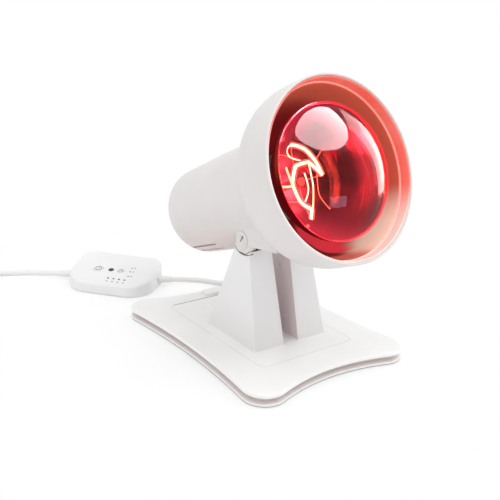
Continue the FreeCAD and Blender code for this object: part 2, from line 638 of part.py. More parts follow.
def head():
    save("lamp_shade", in_head(lamp_shade()))
    save("front_ring", in_head(front_ring()))
    save("reflector", in_head(reflector()))
    save("rear_housing", in_head(rear_housing()))
    save("pivot_saddle", pivot_saddle())
    save("pivot_caps", *pivot_caps())
    back = -SHADE_BACK_D + SHADE_T
    save("housing_screws", *[in_head(screw(V(x, y, back), Z_AXIS * -1, 11.0, 1.3, 2.4, 1.3)) for x, y in SHADE_SCREWS])
    save("bulb_face", in_head(bulb_face()))
    save("bulb_reflector", in_head(bulb_reflector()))
    save("bulb_screw_cap", in_head(bulb_cap()))
    bulb_inside()
    lamp_holder()


# ---- controller --------------------------------------------------------------------------------
CTRL = FreeCAD.Placement(CTRL_POS, FreeCAD.Rotation(Z_AXIS, CTRL_TURN))
FACE_MIDDLE_Z = (CTRL_FRONT_H + CTRL_REAR_H) / 2
FACE = FreeCAD.Placement(V(0, 0, FACE_MIDDLE_Z), FreeCAD.Rotation(X_AXIS, FACE_SLOPE))


def in_ctrl(shape):
    return shape.transformed(CTRL.toMatrix(), True)


def on_face(shape):
    """From the sloping face's frame (its Z is the face's normal) to the lamp's frame."""
    return shape.transformed(CTRL.multiply(FACE).toMatrix(), True)


def ctrl_plate(inset, z0, z1):
    """Upright block of the controller's outline, with wider corners in front than at the rear."""
    x, y = CTRL_L / 2 - inset, CTRL_W / 2 - inset
    block = box(-x, x, -y, y, z0, z1)
    for end, r in ((-1, CTRL_FRONT_R), (1, CTRL_REAR_R)):
        corners = [e for e in block.Edges if abs(e.tangentAt(e.FirstParameter).z) > 0.99 and
                   e.CenterOfMass.y * end > 0 and abs(abs(e.CenterOfMass.y) - y) < EPS]
        block = block.makeFillet(r - inset, corners)
    return block


def ctrl_solid(inset, z0, drop):
    """Rounded block under the sloping face, lowered by drop."""
    block = ctrl_plate(inset, z0, CTRL_REAR_H + 20)
    above = box(-80, 80, -80, 80, -drop, 60).transformed(FACE.toMatrix(), True)
    return block.cut(above)


def face_holes():
    holes = [cyl(r + BUTTON_GAP, V(x, y, -8), Z_AXIS, 12) for (x, y), r in BUTTONS.values()]
    holes += [cyl(LAMP_R, V(x, y, -8), Z_AXIS, 12) for x, y in TIMER_LAMPS + LEVEL_LAMPS]
    return [h.transformed(FACE.toMatrix(), True) for h in holes]


CTRL_POSTS = [(sx * 38.0, y) for sx in SIDES for y in (-20.0, 20.0)]


def ctrl_cuts():
    return [relief_hole(LAMP_ROUTE[-1], LAMP_ROUTE[-2], CTRL_RELIEF_ROOT),
            relief_hole(MAINS_ROUTE[0], MAINS_ROUTE[1], CTRL_RELIEF_ROOT)]


def controller_shells():
    upper = ctrl_solid(0, CTRL_SPLIT, 0)
    top_edges = [e for e in upper.Edges if e.BoundBox.ZMin > CTRL_FRONT_H - 0.5 and
                 abs(e.BoundBox.ZMax - e.BoundBox.ZMin) < 25 and is_on_face(e)]
    upper = upper.makeFillet(3.2, top_edges)
    upper = upper.cut([ctrl_solid(CTRL_WALL, CTRL_SPLIT - 1, CTRL_WALL)] + face_holes())
    for x, y in CTRL_POSTS:
        ceiling = FACE_MIDDLE_Z + y * math.tan(math.radians(FACE_SLOPE)) - CTRL_WALL - 0.5
        post = cyl(3.2, V(x, y, CTRL_SPLIT), Z_AXIS, ceiling + 1.2 - CTRL_SPLIT)
        upper = upper.fuse(post).cut(cyl(1.3, V(x, y, CTRL_SPLIT - 1), Z_AXIS, 6.5))
    save("controller_upper_shell", in_ctrl(upper).cut(ctrl_cuts()))
    lower = ctrl_plate(0, CTRL_FOOT_H, CTRL_SPLIT)
    low_edges = [e for e in lower.Edges if e.BoundBox.ZMax < CTRL_FOOT_H + EPS]
    lower = lower.makeFillet(1.6, low_edges)
    lower = lower.cut(ctrl_plate(CTRL_WALL, CTRL_FOOT_H + CTRL_WALL, CTRL_SPLIT + 1))
    for x, y in CTRL_POSTS:
        lower = lower.fuse(cyl(3.2, V(x, y, CTRL_FOOT_H + 1), Z_AXIS, CTRL_SPLIT - CTRL_FOOT_H - 1))
        lower = lower.cut([cyl(1.6, V(x, y, -1), Z_AXIS, 8), cyl(3.0, V(x, y, -1), Z_AXIS, CTRL_FOOT_H + 3.0)])
    save("controller_lower_shell", in_ctrl(lower).cut(ctrl_cuts()))
    save("controller_screws", *[in_ctrl(screw(V(x, y, CTRL_FOOT_H + 2.0), Z_AXIS, 7.5, 1.3, 2.6, 1.4))
                                for x, y in CTRL_POSTS])
    feet = [cyl(4.5, V(sx * 30.0, sy * 24.0, 0), Z_AXIS, CTRL_FOOT_H) for sx in SIDES for sy in SIDES]
    save("controller_feet", *[in_ctrl(f) for f in feet])


def is_on_face(edge):
    inverse = FACE.inverse()
    return all(abs(inverse.multVec(v.Point).z) < 0.05 for v in edge.Vertexes)


def controller_inside():
    board = box(-32, 32, -25, 22, BOARD_TOP - BOARD_T, BOARD_TOP)
    save("circuit_board", on_face(board))
    switches = []
    for (x, y), r in BUTTONS.values():
        body = box(x - 2.4, x + 2.4, y - 2.4, y + 2.4, BOARD_TOP, BOARD_TOP + SWITCH_H)
        switches.append(on_face(body.fuse(cyl(1.2, V(x, y, BOARD_TOP + SWITCH_H), Z_AXIS, PLUNGER_H))))
    save("tactile_switches", *switches)
    relay = box(-24, -8, 6, 20, BOARD_TOP - BOARD_T - 7.0, BOARD_TOP - BOARD_T)
    save("power_relay", on_face(relay))


def controller_face():
    plunger_top = BOARD_TOP + SWITCH_H + PLUNGER_H
    for name, ((x, y), r) in BUTTONS.items():
        top = cyl(r, V(x, y, -1.4), Z_AXIS, 1.4 + BUTTON_PROUD)
        top = top.makeFillet(0.25, [e for e in top.Edges if e.BoundBox.ZMin > BUTTON_PROUD - EPS])
        skirt = cyl(r + 1.0, V(x, y, -3.6), Z_AXIS, 0.9).fuse(cyl(r - 0.3, V(x, y, -2.9), Z_AXIS, 1.8))
        stem = cyl(1.6, V(x, y, plunger_top + BUTTON_TRAVEL + 0.1), Z_AXIS, 1.0)
        save(name, on_face(top.fuse([skirt, stem])))
    lens_top = 0.05
    timer = [on_face(cyl(LAMP_R, V(x, y, -3.0), Z_AXIS, 3.0 + lens_top)) for x, y in TIMER_LAMPS]
    level = [on_face(cyl(LAMP_R, V(x, y, -3.0), Z_AXIS, 3.0 + lens_top)) for x, y in LEVEL_LAMPS]
    save("timer_lamps", *timer)
    save("level_lamps", *level)


# ---- cords -------------------------------------------------------------------------------------
def relief(start, nxt, length, root_depth):
    """Tapered strain relief, rooted in the wall; the cord runs through it."""
    direction = (nxt - start).normalize()
    root = start - direction * root_depth
    collar = cyl(RELIEF_R0, root, direction, root_depth)
    cone = Part.makeCone(RELIEF_R0, RELIEF_R1, length, start, direction)
    return collar.fuse(cone).cut(cyl(CORD_R, root - direction, direction, length + root_depth + 2))


def cord_path(points):
    """Straight runs joined by tangent arcs as large as the runs allow; prints the radii."""
    edges, radii = [], []
    current = points[0]
    for before, corner, after in zip(points, points[1:], points[2:]):
        a, b = (before - corner), (after - corner)
        reach = 0.45 * min(a.Length, b.Length)
        a.normalize()
        b.normalize()
        turn = math.pi - math.acos(max(-1.0, min(1.0, a.dot(b))))
        radii.append(reach / math.tan(turn / 2))
        start, end = corner + a * reach, corner + b * reach
        bisector = (a + b).normalize()
        middle = corner + bisector * (radii[-1] / math.cos(turn / 2) - radii[-1])
        edges.append(line(current, start))
        edges.append(Part.Arc(start, middle, end).toShape())
        current = end
    edges.append(line(current, points[-1]))
    print("arc radii", [round(r, 1) for r in radii])
    return Part.Wire(edges)


def cord_tube(points):
    path = cord_path(points)
    direction = (points[1] - points[0]).normalize()
    section = Part.Wire([Part.Circle(points[0], direction, CORD_R).toShape()])
    solid = path.makePipeShell([section], True, False, 0)
    expected = math.pi * CORD_R ** 2 * path.Length
    print("cord length %.1f volume ratio %.4f" % (path.Length, solid.Volume / expected))
    return solid


def coil_size():
    across = COIL_TURNS_ACROSS * 2 * CORD_R + 0.4
    return COIL_R - across / 2, COIL_R + across / 2, COIL_LAYERS * 2 * CORD_R + 0.3


def mains_coil():
    r0, r1, height = coil_size()
    ring = tube(r1, r0, COIL_CENTRE, Z_AXIS, height)
    return ring.makeFillet(2.6, [e for e in ring.Edges if e.Closed])


def coil_tie(coil):
    r0, r1, height = coil_size()
    tie = box(r0 - 1.3, r1 + 1.0, -3, 3, 0.0, height + 1.0).cut(box(r0 - 0.3, r1 - 3, -4, 4, -1.0, height - 3))
    tie.translate(COIL_CENTRE)
    tie.rotate(COIL_CENTRE, Z_AXIS, COIL_TIE_ANGLE)
    return tie.cut(coil)


def plug():
    """Flat two-pin plug; its own X axis runs from the cord to the pins."""
    start = TAIL_ROUTE[-1]
    place = FreeCAD.Placement(start, FreeCAD.Rotation(Z_AXIS, PLUG_TURN))

    def placed(shape):
        return shape.transformed(place.toMatrix(), True)
    body = rounded_plate(22, 40, -12.5, 12.5, -6.5, 6.5, 4.0)
    neck = Part.makeLoft([Part.makePolygon([V(x, -w, -h), V(x, w, -h), V(x, w, h), V(x, -w, h), V(x, -w, -h)])
                          for x, w, h in ((0.0, 4.2, 4.0), (22.2, 9.0, 6.3))], True, True)
    shell = body.fuse(neck)
    pins = []
    for side in SIDES:
        at = V(40, side * PIN_SPACING / 2, 0)
        root = cyl(PIN_R - 0.4, at - X_AXIS * 8, X_AXIS, 8)
        shell = shell.cut(root)
        tip = Part.makeCone(PIN_R, PIN_R - 0.8, 1.0, at + X_AXIS * (PIN_L - 1), X_AXIS)
        pins.append(placed(cyl(PIN_R, at, X_AXIS, PIN_L - 1).fuse([root, tip])))
    save("plug_body", placed(shell))
    save("plug_pins", *pins)


def cords():
    save("base_strain_relief", relief(LAMP_ROUTE[0], LAMP_ROUTE[1], 21.0, BASE_RELIEF_ROOT))
    save("controller_lamp_relief", relief(LAMP_ROUTE[-1], LAMP_ROUTE[-2], 15.0, CTRL_RELIEF_ROOT))
    save("controller_mains_relief", relief(MAINS_ROUTE[0], MAINS_ROUTE[1], 20.0, CTRL_RELIEF_ROOT))
    save("lamp_cord", cord_tube(LAMP_ROUTE))
    coil = mains_coil()
    save("mains_cord_coil", coil)
    save("mains_cord", largest(cord_tube(MAINS_ROUTE).cut(coil)))
    save("mains_cord_tail", cord_tube(TAIL_ROUTE).cut(coil))
    save("coil_tie", coil_tie(coil))
    plug()


def stand():
    save("base_top_plate", base_top_plate())
    save("base_bottom_tray", base_bottom_tray())
    base_details()
    save("footplate", footplate())
    for side, word in ((-1, "left"), (1, "right")):
        save("%s_column_shell" % word, column_shell(side))
        save("%s_column_cover" % word, column_cover(side))
        save("%s_column_frame" % word, frame_plate(side))
    save("cover_screws", *cover_screws())
    save("column_screws", *[screw(V(x, y, BASE_TOP_Z + 3.0), Z_AXIS * -1, 5.0) for x, y in column_screw_places()])
    pivot_hardware()


stand()
head()
controller_shells()
controller_inside()
controller_face()
cords()
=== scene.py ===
"""Infrared heat therapy lamp: surfaces, materials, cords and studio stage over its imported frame."""
import math

import bpy
from bpy.props import FloatProperty, FloatVectorProperty, IntProperty, PointerProperty
from mathutils import Matrix, Vector


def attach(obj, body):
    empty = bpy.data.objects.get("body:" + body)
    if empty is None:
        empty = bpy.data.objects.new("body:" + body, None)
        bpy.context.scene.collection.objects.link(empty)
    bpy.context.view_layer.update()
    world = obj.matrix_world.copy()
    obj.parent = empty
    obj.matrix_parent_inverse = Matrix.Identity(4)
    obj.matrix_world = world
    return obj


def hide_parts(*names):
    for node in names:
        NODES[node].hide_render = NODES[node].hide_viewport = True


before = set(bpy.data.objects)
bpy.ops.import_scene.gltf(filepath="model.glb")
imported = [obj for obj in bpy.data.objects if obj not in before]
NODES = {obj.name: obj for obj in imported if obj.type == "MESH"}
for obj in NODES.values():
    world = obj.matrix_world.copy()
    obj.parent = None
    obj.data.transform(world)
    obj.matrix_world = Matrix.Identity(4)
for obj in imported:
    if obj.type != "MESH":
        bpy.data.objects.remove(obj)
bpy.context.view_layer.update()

bl_info = {
    "name": "Infrared Heat Lamp",
    "version": (1, 0, 0),
    "blender": (4, 5, 0),
    "location": "View3D > Sidebar > Heat Lamp",
    "description": "Builds a tilting infrared lamp with its controller, cords and stage",
    "category": "Add Mesh",
}

MM = 0.001

TILT = math.radians(22.8)
FORWARD = Vector((0.0, -math.cos(TILT), math.sin(TILT)))
UPWARD = Vector((0.0, math.sin(TILT), math.cos(TILT)))
SIDEWAYS = Vector((1.0, 0.0, 0.0))
PIVOT = Vector((0.0, -0.0131, 0.1136))
RIM = PIVOT + FORWARD * 0.1144 + UPWARD * 0.0419
LOW_LEFT = SIDEWAYS * -0.8 - UPWARD * 0.6
STRAIGHT_UP = Vector((0.0, 0.0, 1.0))
SMOOTH_ANGLE = math.radians(35.0)


def head_point(x, up, depth):
    """Point of the head from its sideways, upward and backward distances in millimetres."""
    return RIM + SIDEWAYS * (x * MM) + UPWARD * (up * MM) - FORWARD * (depth * MM)


# ---- settings ----
class HeatLampSizes(bpy.types.PropertyGroup):
    rim_radius: FloatProperty(name="Rim radius", description="Outer radius of the shade in millimetres",
                              default=82.5, min=60.0, max=120.0)
    shade_wall: FloatProperty(name="Shade wall", description="Wall of the shade in millimetres", default=2.2,
                              min=1.0)
    bulb_radius: FloatProperty(name="Bulb radius", description="Largest radius of the bulb in millimetres",
                               default=61.0, min=40.0)
    cord_diameter: FloatProperty(name="Cord diameter", description="Thickness of both cords", default=0.0062,
                                 unit="LENGTH")
    turn_steps: IntProperty(name="Turning steps", description="Segments of each turned piece", default=128,
                            min=24)


class HeatLampColours(bpy.types.PropertyGroup):
    plastic: FloatVectorProperty(name="Base plastic", description="Moulded plastic of base and controller",
                                 subtype="COLOR", default=(0.875, 0.87, 0.866))
    column_plastic: FloatVectorProperty(name="Column plastic", description="Moulded plastic of the columns",
                                        subtype="COLOR", default=(0.8, 0.79, 0.793))
    head_plastic: FloatVectorProperty(name="Head plastic", description="Warm white of shade and housing",
                                      subtype="COLOR", default=(0.71, 0.687, 0.677))
    # the bulb's red light, painted on the shade's white inner side
    rim_painted_light: FloatVectorProperty(name="Rim painted light", description="Lit inner side of the shade", subtype="COLOR",
                                  default=(0.84, 0.16, 0.115))
    # the bulb's red light, painted on the reflector's wall
    bowl_painted_light: FloatVectorProperty(name="Bowl painted light", description="Warm wall of the reflector",
                                   subtype="COLOR", default=(0.43, 0.077, 0.046))
    cream: FloatVectorProperty(name="Cream", description="Lower side of the rim", subtype="COLOR",
                               default=(0.86, 0.77, 0.69))
    glass: FloatVectorProperty(name="Bulb glass", description="Red front glass", subtype="COLOR",
                               default=(0.94, 0.17, 0.22))
    cord: FloatVectorProperty(name="Cord", description="Cord jacket", subtype="COLOR",
                              default=(0.8, 0.8, 0.79))


class HeatLampStage(bpy.types.PropertyGroup):
    key_watts: FloatProperty(name="Overhead light", description="Power of the large soft light", default=6.2,
                             unit="POWER")
    fill_watts: FloatProperty(name="Left light", description="Power of the left light", default=4.5,
                              unit="POWER")
    strip_watts: FloatProperty(name="Right strip", description="Power of the tall narrow light", default=3.0,
                               unit="POWER")
    glint_watts: FloatProperty(name="Glint", description="Power of the panel mirrored by the bulb",
                               default=130.0, unit="POWER")
    streak_watts: FloatProperty(name="Streak", description="Power of the panel mirrored at the bulb's right",
                                default=14.0, unit="POWER")
    room_level: FloatProperty(name="Room level", description="Even light from all round", default=0.86,
                              min=0.0)


# ---- material helpers ----
NOISE_RANGE = (0.3, 0.7)


def new_material(name):
    """Empty material; returns it with its object coordinates and its shader."""
    material = bpy.data.materials.new(name)
    material.use_nodes = True
    tree = material.node_tree
    tree.nodes.clear()
    output = tree.nodes.new("ShaderNodeOutputMaterial")
    shader = tree.nodes.new("ShaderNodeBsdfPrincipled")
    link(shader.outputs["BSDF"], output.inputs["Surface"])
    return material, tree.nodes.new("ShaderNodeTexCoord").outputs["Object"], shader


def link(output, socket):
    output.id_data.links.new(output, socket)


def fill(node, values):
    """Set a node's sockets by name, each to a number, to a colour or to another node's output."""
    for key, value in values.items():
        socket = node.inputs[key]
        if isinstance(value, bpy.types.NodeSocket):
            link(value, socket)
        elif socket.type == "RGBA":
            socket.default_value = (*value, 1.0)
        else:
            socket.default_value = value


def add_node(output, kind):
    """New node in the tree that an output belongs to."""
    return output.id_data.nodes.new(kind)


def noise(vector, scale, detail=3.0, roughness=0.5):
    node = add_node(vector, "ShaderNodeTexNoise")
    fill(node, {"Vector": vector, "Scale": scale, "Detail": detail, "Roughness": roughness})
    return node.outputs["Fac"]


def ramp(value, first, second):
    """Passage between two colours over the range that most of a noise falls in."""
    node = add_node(value, "ShaderNodeValToRGB")
    for element, place, colour in zip(node.color_ramp.elements, NOISE_RANGE, (first, second)):
        element.position = place
        element.color = (*colour, 1.0)
    link(value, node.inputs["Fac"])
    return node.outputs["Color"]


def map_range(value, source, target, interpolation="LINEAR"):
    node = add_node(value, "ShaderNodeMapRange")
    node.interpolation_type = interpolation
    fill(node, {"Value": value, "From Min": source[0], "From Max": source[1],
                "To Min": target[0], "To Max": target[1]})
    return node.outputs["Result"]


def rescale(value, low, high):
    """Noise spread over the range from low to high."""
    return map_range(value, NOISE_RANGE, (low, high))


def bump(height, distance, strength=0.5):
    node = add_node(height, "ShaderNodeBump")
    fill(node, {"Height": height, "Distance": distance, "Strength": strength})
    return node.outputs["Normal"]


def vector_math(operation, vector, constant):
    node = add_node(vector, "ShaderNodeVectorMath")
    node.operation = operation
    fill(node, {0: vector, 1: constant})
    return node


def along(vector, origin, direction):
    """Distance in metres of a point from an origin, measured along a direction."""
    away = vector_math("SUBTRACT", vector, origin).outputs["Vector"]
    return vector_math("DOT_PRODUCT", away, direction).outputs["Value"]


def head_depth(where):
    """Distance behind the plane of the rim."""
    return along(where, RIM, -FORWARD)


def height_over_floor(where):
    return along(where, (0.0, 0.0, 0.0), STRAIGHT_UP)


def between(value, start, end):
    """Zero at start, one at end, with a smooth passage."""
    return map_range(value, (start, end), (0.0, 1.0), "SMOOTHSTEP")


def near_point(vector, centre, reach):
    """One at a point, falling smoothly to zero at its reach."""
    return between(vector_math("DISTANCE", vector, centre).outputs["Value"], reach, 0.0)


def blend_colours(factor, first, second):
    """Mix two colours, each given as a triple or as a node's output."""
    node = add_node(factor, "ShaderNodeMix")
    node.data_type = "RGBA"
    fill(node, {"Factor": factor, "A": first, "B": second})
    return node.outputs["Result"]


def combine(operation, first, second=0.0):
    """Math node on two values, the second given as a number or as a node's output."""
    node = add_node(first, "ShaderNodeMath")
    node.operation = operation
    fill(node, {0: first, 1: second})
    return node.outputs["Value"]


def product(first, second):
    return combine("MULTIPLY", first, second)


def total(first, second):
    return combine("ADD", first, second)


def ring_noise(where, scale):
    """Noise that only changes along the head's axis, as on a turned or blown piece."""
    line = add_node(where, "ShaderNodeCombineXYZ")
    fill(line, {"X": along(where, RIM, FORWARD)})
    return noise(line.outputs["Vector"], scale, 4.0, 0.6)


def shade_colour(colour, factor):
    """The same colour, lighter or darker."""
    return tuple(min(1.0, channel * factor) for channel in colour)


def moulded(name, colour, rough=0.4, grain=650.0, depth=0.00006, specular=0.5):
    """Moulded plastic or rubber: faint clouding, a fine spark-eroded grain and uneven gloss."""
    material, where, shader = new_material(name)
    fill(shader, {
        "Base Color": ramp(noise(where, 22.0, 4.0), shade_colour(colour, 0.97), shade_colour(colour, 1.012)),
        "Roughness": rescale(noise(where, 60.0), rough - 0.05, rough + 0.06),
        "Specular IOR Level": specular,
        "Normal": bump(noise(where, grain, 2.0), depth)})
    return material


def metal(name, colour, rough=0.3):
    """Plated or turned metal with fine directional marks."""
    material, where, shader = new_material(name)
    mapping = add_node(where, "ShaderNodeMapping")
    fill(mapping, {"Vector": where, "Scale": (1.0, 1.0, 12.0)})
    marks = noise(mapping.outputs["Vector"], 260.0, 4.0, 0.6)
    fill(shader, {"Base Color": ramp(marks, shade_colour(colour, 0.88), colour), "Metallic": 1.0,
                  "Roughness": rescale(marks, rough - 0.08, rough + 0.1), "Normal": bump(marks, 0.00003)})
    return material


def cover(obj, material):
    """Give an object this material in place of its own."""
    obj.data.materials.clear()
    obj.data.materials.append(material)


def finish_piece(obj, material, body, replaced=()):
    """Give a piece its material and its body, and hide the parts it replaces."""
    cover(obj, material)
    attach(obj, body)
    if replaced:
        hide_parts(*replaced)


# ---- modelling helpers ----
def deselect_all():
    if bpy.context.object is not None and bpy.context.object.mode != "OBJECT":
        bpy.ops.object.mode_set(mode="OBJECT")
    bpy.ops.object.select_all(action="DESELECT")


def select_only(obj):
    deselect_all()
    bpy.context.view_layer.objects.active = obj
    obj.select_set(True)


def extrude(stride):
    bpy.ops.mesh.extrude_region_move(TRANSFORM_OT_translate={"value": stride})


def settle(obj):
    """Finish a piece: object at the origin, smooth but for its edges."""
    select_only(obj)
    bpy.ops.object.transform_apply(location=True, rotation=True, scale=True)
    bpy.ops.object.shade_smooth_by_angle(angle=SMOOTH_ANGLE)


def turned(name, profile, steps, closed=True):
    """Turn a profile of (radius, depth) in millimetres round the head's axis."""
    deselect_all()
    points = [head_point(0.0, radius, depth) for radius, depth in profile]
    if closed:
        points.append(points[0])
    bpy.ops.mesh.primitive_plane_add(size=0.001, location=points[0])
    obj = bpy.context.object
    obj.name = name
    bpy.ops.object.mode_set(mode="EDIT")
    bpy.ops.mesh.merge(type="CENTER")
    for before, after in zip(points, points[1:]):
        extrude(after - before)
    bpy.ops.mesh.select_all(action="SELECT")
    bpy.ops.mesh.spin(steps=steps, angle=math.tau, center=RIM, axis=FORWARD)
    bpy.ops.mesh.select_all(action="SELECT")
    bpy.ops.mesh.remove_doubles(threshold=0.000002)
    bpy.ops.mesh.normals_make_consistent(inside=False)
    bpy.ops.object.mode_set(mode="OBJECT")
    settle(obj)
    return obj


def arc(centre_r, centre_d, radius, start, end, steps):
    """Points of an arc in a profile; angles in degrees from the outward direction toward the rear."""
    angles = [math.radians(start + (end - start) * i / steps) for i in range(steps + 1)]
    return [(centre_r + radius * math.cos(angle), centre_d + radius * math.sin(angle)) for angle in angles]


def weighted(points, weights):
    """Sum of a profile's points, each times its weight."""
    return tuple(sum(weight * point[k] for weight, point in zip(weights, points)) for k in (0, 1))


def curve_through(points, steps):
    """Smooth profile through a few points, by Catmull-Rom steps."""
    ends = [points[0]] + list(points) + [points[-1]]
    result = []
    for four in zip(ends, ends[1:], ends[2:], ends[3:]):
        for t in (i / steps for i in range(steps)):
            result.append(weighted(four, ((2 * t * t - t - t ** 3) / 2, (2 - 5 * t * t + 3 * t ** 3) / 2,
                                          (t + 4 * t * t - 3 * t ** 3) / 2, (t ** 3 - t * t) / 2)))
    return result + [tuple(points[-1])]


def round_curve(name, strands, radius, rings=3, steps=12):
    """Round wire or cord along the control points of one or more open splines, in metres."""
    curve = bpy.data.curves.new(name, "CURVE")
    curve.dimensions = "3D"
    curve.bevel_depth = radius
    curve.bevel_resolution = rings
    curve.use_fill_caps = True
    curve.resolution_u = steps
    for strand in strands:
        spline = curve.splines.new("NURBS")
        spline.points.add(len(strand) - 1)
        for control, point in zip(spline.points, strand):
            control.co = (*point, 1.0)
        spline.order_u = 3
        spline.use_endpoint_u = True
    obj = bpy.data.objects.new(name, curve)
    bpy.context.scene.collection.objects.link(obj)
    return obj


def lay_wires(name, strands, radius, material, body, replaced=()):
    """Make a piece of thin round wires."""
    finish_piece(round_curve(name, strands, radius), material, body, replaced)


# ---- materials of the carried-over parts ----
BASE_NODES = ("base_top_plate", "base_bottom_tray")
PLASTIC_NODES = ("rear_cable_cover", "footplate")
CONTROLLER_NODES = ("controller_upper_shell", "controller_lower_shell", "power_button", "timer_button")
COLUMN_NODES = ("left_column_shell", "left_column_cover", "right_column_shell", "right_column_cover",
                "cover_screws")
HEAD_NODES = ("lamp_shade", "pivot_saddle", "pivot_caps", "front_ring")
STEEL_NODES = ("base_screws", "base_ballast", "left_column_frame", "right_column_frame", "column_screws",
               "pivot_bolts", "pivot_nuts", "housing_screws", "holder_bracket", "holder_screws",
               "controller_screws", "filament_supports")
NICKEL_NODES = ("bulb_screw_cap", "bulb_contact", "holder_screw_shell", "holder_centre_contact", "plug_pins")
CORD_NODES = ("base_strain_relief", "controller_lamp_relief", "controller_mains_relief", "lamp_cord",
              "mains_cord", "mains_cord_coil", "mains_cord_tail", "plug_body")
RUBBER_NODES = ("rubber_feet", "controller_feet")
DARK_NODES = ("tactile_switches", "power_relay", "coil_tie", "level_button")
LENS_NODES = ("timer_lamps", "level_lamps")
# gap between the columns: half its width at the floor, and how much that grows with height
GAP_HALF, GAP_LEAN = 0.00875, 0.02


def layered_plastic(name, colour):
    """Moulded plastic that takes more layers; returns it with its coordinates, shader and plain colour."""
    material = moulded(name, colour)
    nodes = {node.type: node for node in material.node_tree.nodes}
    shader = nodes["BSDF_PRINCIPLED"]
    plain = shader.inputs["Base Color"].links[0].from_socket
    return material, nodes["TEX_COORD"].outputs["Object"], shader, plain


def housing_plastic(colours):
    """Warm white plastic of the rear housing, with painted pinkish shade on its underside toward the rear."""
    material, where, shader, white = layered_plastic("housing plastic", colours.head_plastic)
    # painted shade: pinkish and darker low on the housing, more so toward the rear
    painted_underside_shade = blend_colours(between(head_depth(where), 0.1, 0.15), colours.head_plastic, (0.74, 0.64, 0.62))
    with_underside_shade = blend_colours(between(along(where, RIM, UPWARD), -0.01, -0.045), white, painted_underside_shade)
    link(with_underside_shade, shader.inputs["Base Color"])
    return material


def column_plastic(colours):
    """White plastic of the columns, with painted warm shade toward the foot and on the faces in the gap
    between them.
    """
    material, where, shader, white = layered_plastic("column plastic", colours.column_plastic)
    height = height_over_floor(where)
    # painted shade: darker and warmer toward the foot
    low = blend_colours(between(height, 0.075, 0.015), white, (0.775, 0.755, 0.755))
    # painted shade on the inner faces that look into the gap, found from the sideways distance less the
    # columns' lean
    side = combine("ABSOLUTE", along(where, (0.0, 0.0, 0.0), SIDEWAYS))
    upright = total(side, product(height, -GAP_LEAN))
    painted_gap_shade_mask = between(upright, GAP_HALF + 0.0006, GAP_HALF + 0.0002)
    link(blend_colours(painted_gap_shade_mask, low, (0.76, 0.67, 0.68)), shader.inputs["Base Color"])
    return material


def base_plastic(colours):
    """White plastic of the two base plates, with painted shade in the groove between them, darkest high in
    it, and a painted contact shadow at the lowest edge.
    """
    material, where, shader, white = layered_plastic("base plastic", colours.plastic)
    height = height_over_floor(where)
    # painted contact shadow along the lowest edge
    edge = blend_colours(between(height, 0.0019, 0.0016), white, (0.3, 0.285, 0.275))
    # painted shade in the groove: warm from its lower lip up, dark high under the top plate, white again
    # above it
    low = blend_colours(between(height, 0.0034, 0.0039), edge, (0.82, 0.75, 0.73))
    high = blend_colours(between(height, 0.0055, 0.0085), low, (0.42, 0.34, 0.32))
    above = blend_colours(between(height, 0.0095, 0.0097), high, white)
    link(above, shader.inputs["Base Color"])
    return material


class HEATLAMP_OT_finish_frame(bpy.types.Operator):
    """Give every carried-over part its material"""
    bl_idname = "heatlamp.finish_frame"
    bl_label = "Finish Carried-over Parts"

    def execute(self, context):
        colours = context.scene.heat_lamp_colours
        finishes = (
            (BASE_NODES, base_plastic(colours)),
            (PLASTIC_NODES, moulded("white moulded plastic", colours.plastic)),
            (CONTROLLER_NODES, moulded("controller plastic", (0.81, 0.81, 0.815))),
            (COLUMN_NODES, column_plastic(colours)),
            (HEAD_NODES, moulded("warm white plastic", colours.head_plastic)),
            (("rear_housing",), housing_plastic(colours)),
            (STEEL_NODES, metal("zinc plated steel", (0.55, 0.55, 0.56))),
            (NICKEL_NODES, metal("nickel plated brass", (0.72, 0.68, 0.58), 0.22)),
            (CORD_NODES, moulded("white cord jacket", colours.cord, 0.5, 420.0, 0.000015)),
            (RUBBER_NODES, moulded("dark rubber", (0.035, 0.035, 0.037), 0.75, 1200.0, 0.0001)),
            (DARK_NODES, moulded("dark plastic", (0.03, 0.03, 0.033), 0.45)),
            (("friction_washers",), moulded("fibre washer", (0.2, 0.2, 0.2), 0.7)),
            (("circuit_board",), moulded("circuit board", (0.02, 0.12, 0.05), 0.35)),
            (("lamp_holder_body",), moulded("glazed ceramic", (0.75, 0.73, 0.69), 0.2, 300.0, 0.00003)),
            # painted red light of the bulb as the reflector's colour
            (("reflector",), moulded("reflector bowl", colours.bowl_painted_light, 0.4)),
            (("bulb_face",), moulded("bulb glass stand-in", (0.5, 0.01, 0.02), 0.1)),
            (("bulb_reflector",), metal("bulb mirror", (0.7, 0.3, 0.28), 0.15)),
            (("bulb_stem",), moulded("stem glass", (0.4, 0.2, 0.2), 0.1)),
            (("bulb_filament",), metal("drawn tungsten", (0.3, 0.28, 0.26), 0.4)),
            (LENS_NODES, moulded("indicator lens", (0.012, 0.012, 0.014), 0.2, specular=0.2)),
        )
        for names, material in finishes:
            for name in names:
                cover(NODES[name], material)
        return {"FINISHED"}


# ---- shade ----
# profiles of (radius, depth); the liner's first numbers go inward from the shade's wall
SHADE_BACK = [(66.4, 62.4), (65.2, 63.8), (63.8, 64.8), (62.0, 65.4), (60.0, 65.5), (41.6, 65.5),
              (41.6, 63.3), (60.0, 63.3)]
LINER_STEPS = ((0.0, 1.3), (0.5, 1.0), (1.5, 1.2), (1.9, 2.0), (2.0, 10.2), (2.2, 10.6), (3.1, 10.7),
               (3.4, 11.0), (3.4, 12.0), (0.0, 12.0))
BOWL_FRONT = ((76.5, 12.1), (75.9, 25.0), (73.6, 39.5), (66.9, 51.3), (50.0, 61.0))
BOWL_BACK = [(37.5, 62.5), (37.5, 63.1), (50.5, 61.8), (67.5, 52.2), (74.5, 40.2), (77.3, 13.0), (79.6, 13.0),
             (79.6, 12.1)]
FLANK_RADIUS, FLANK_DEPTH = 50.0, 25.0


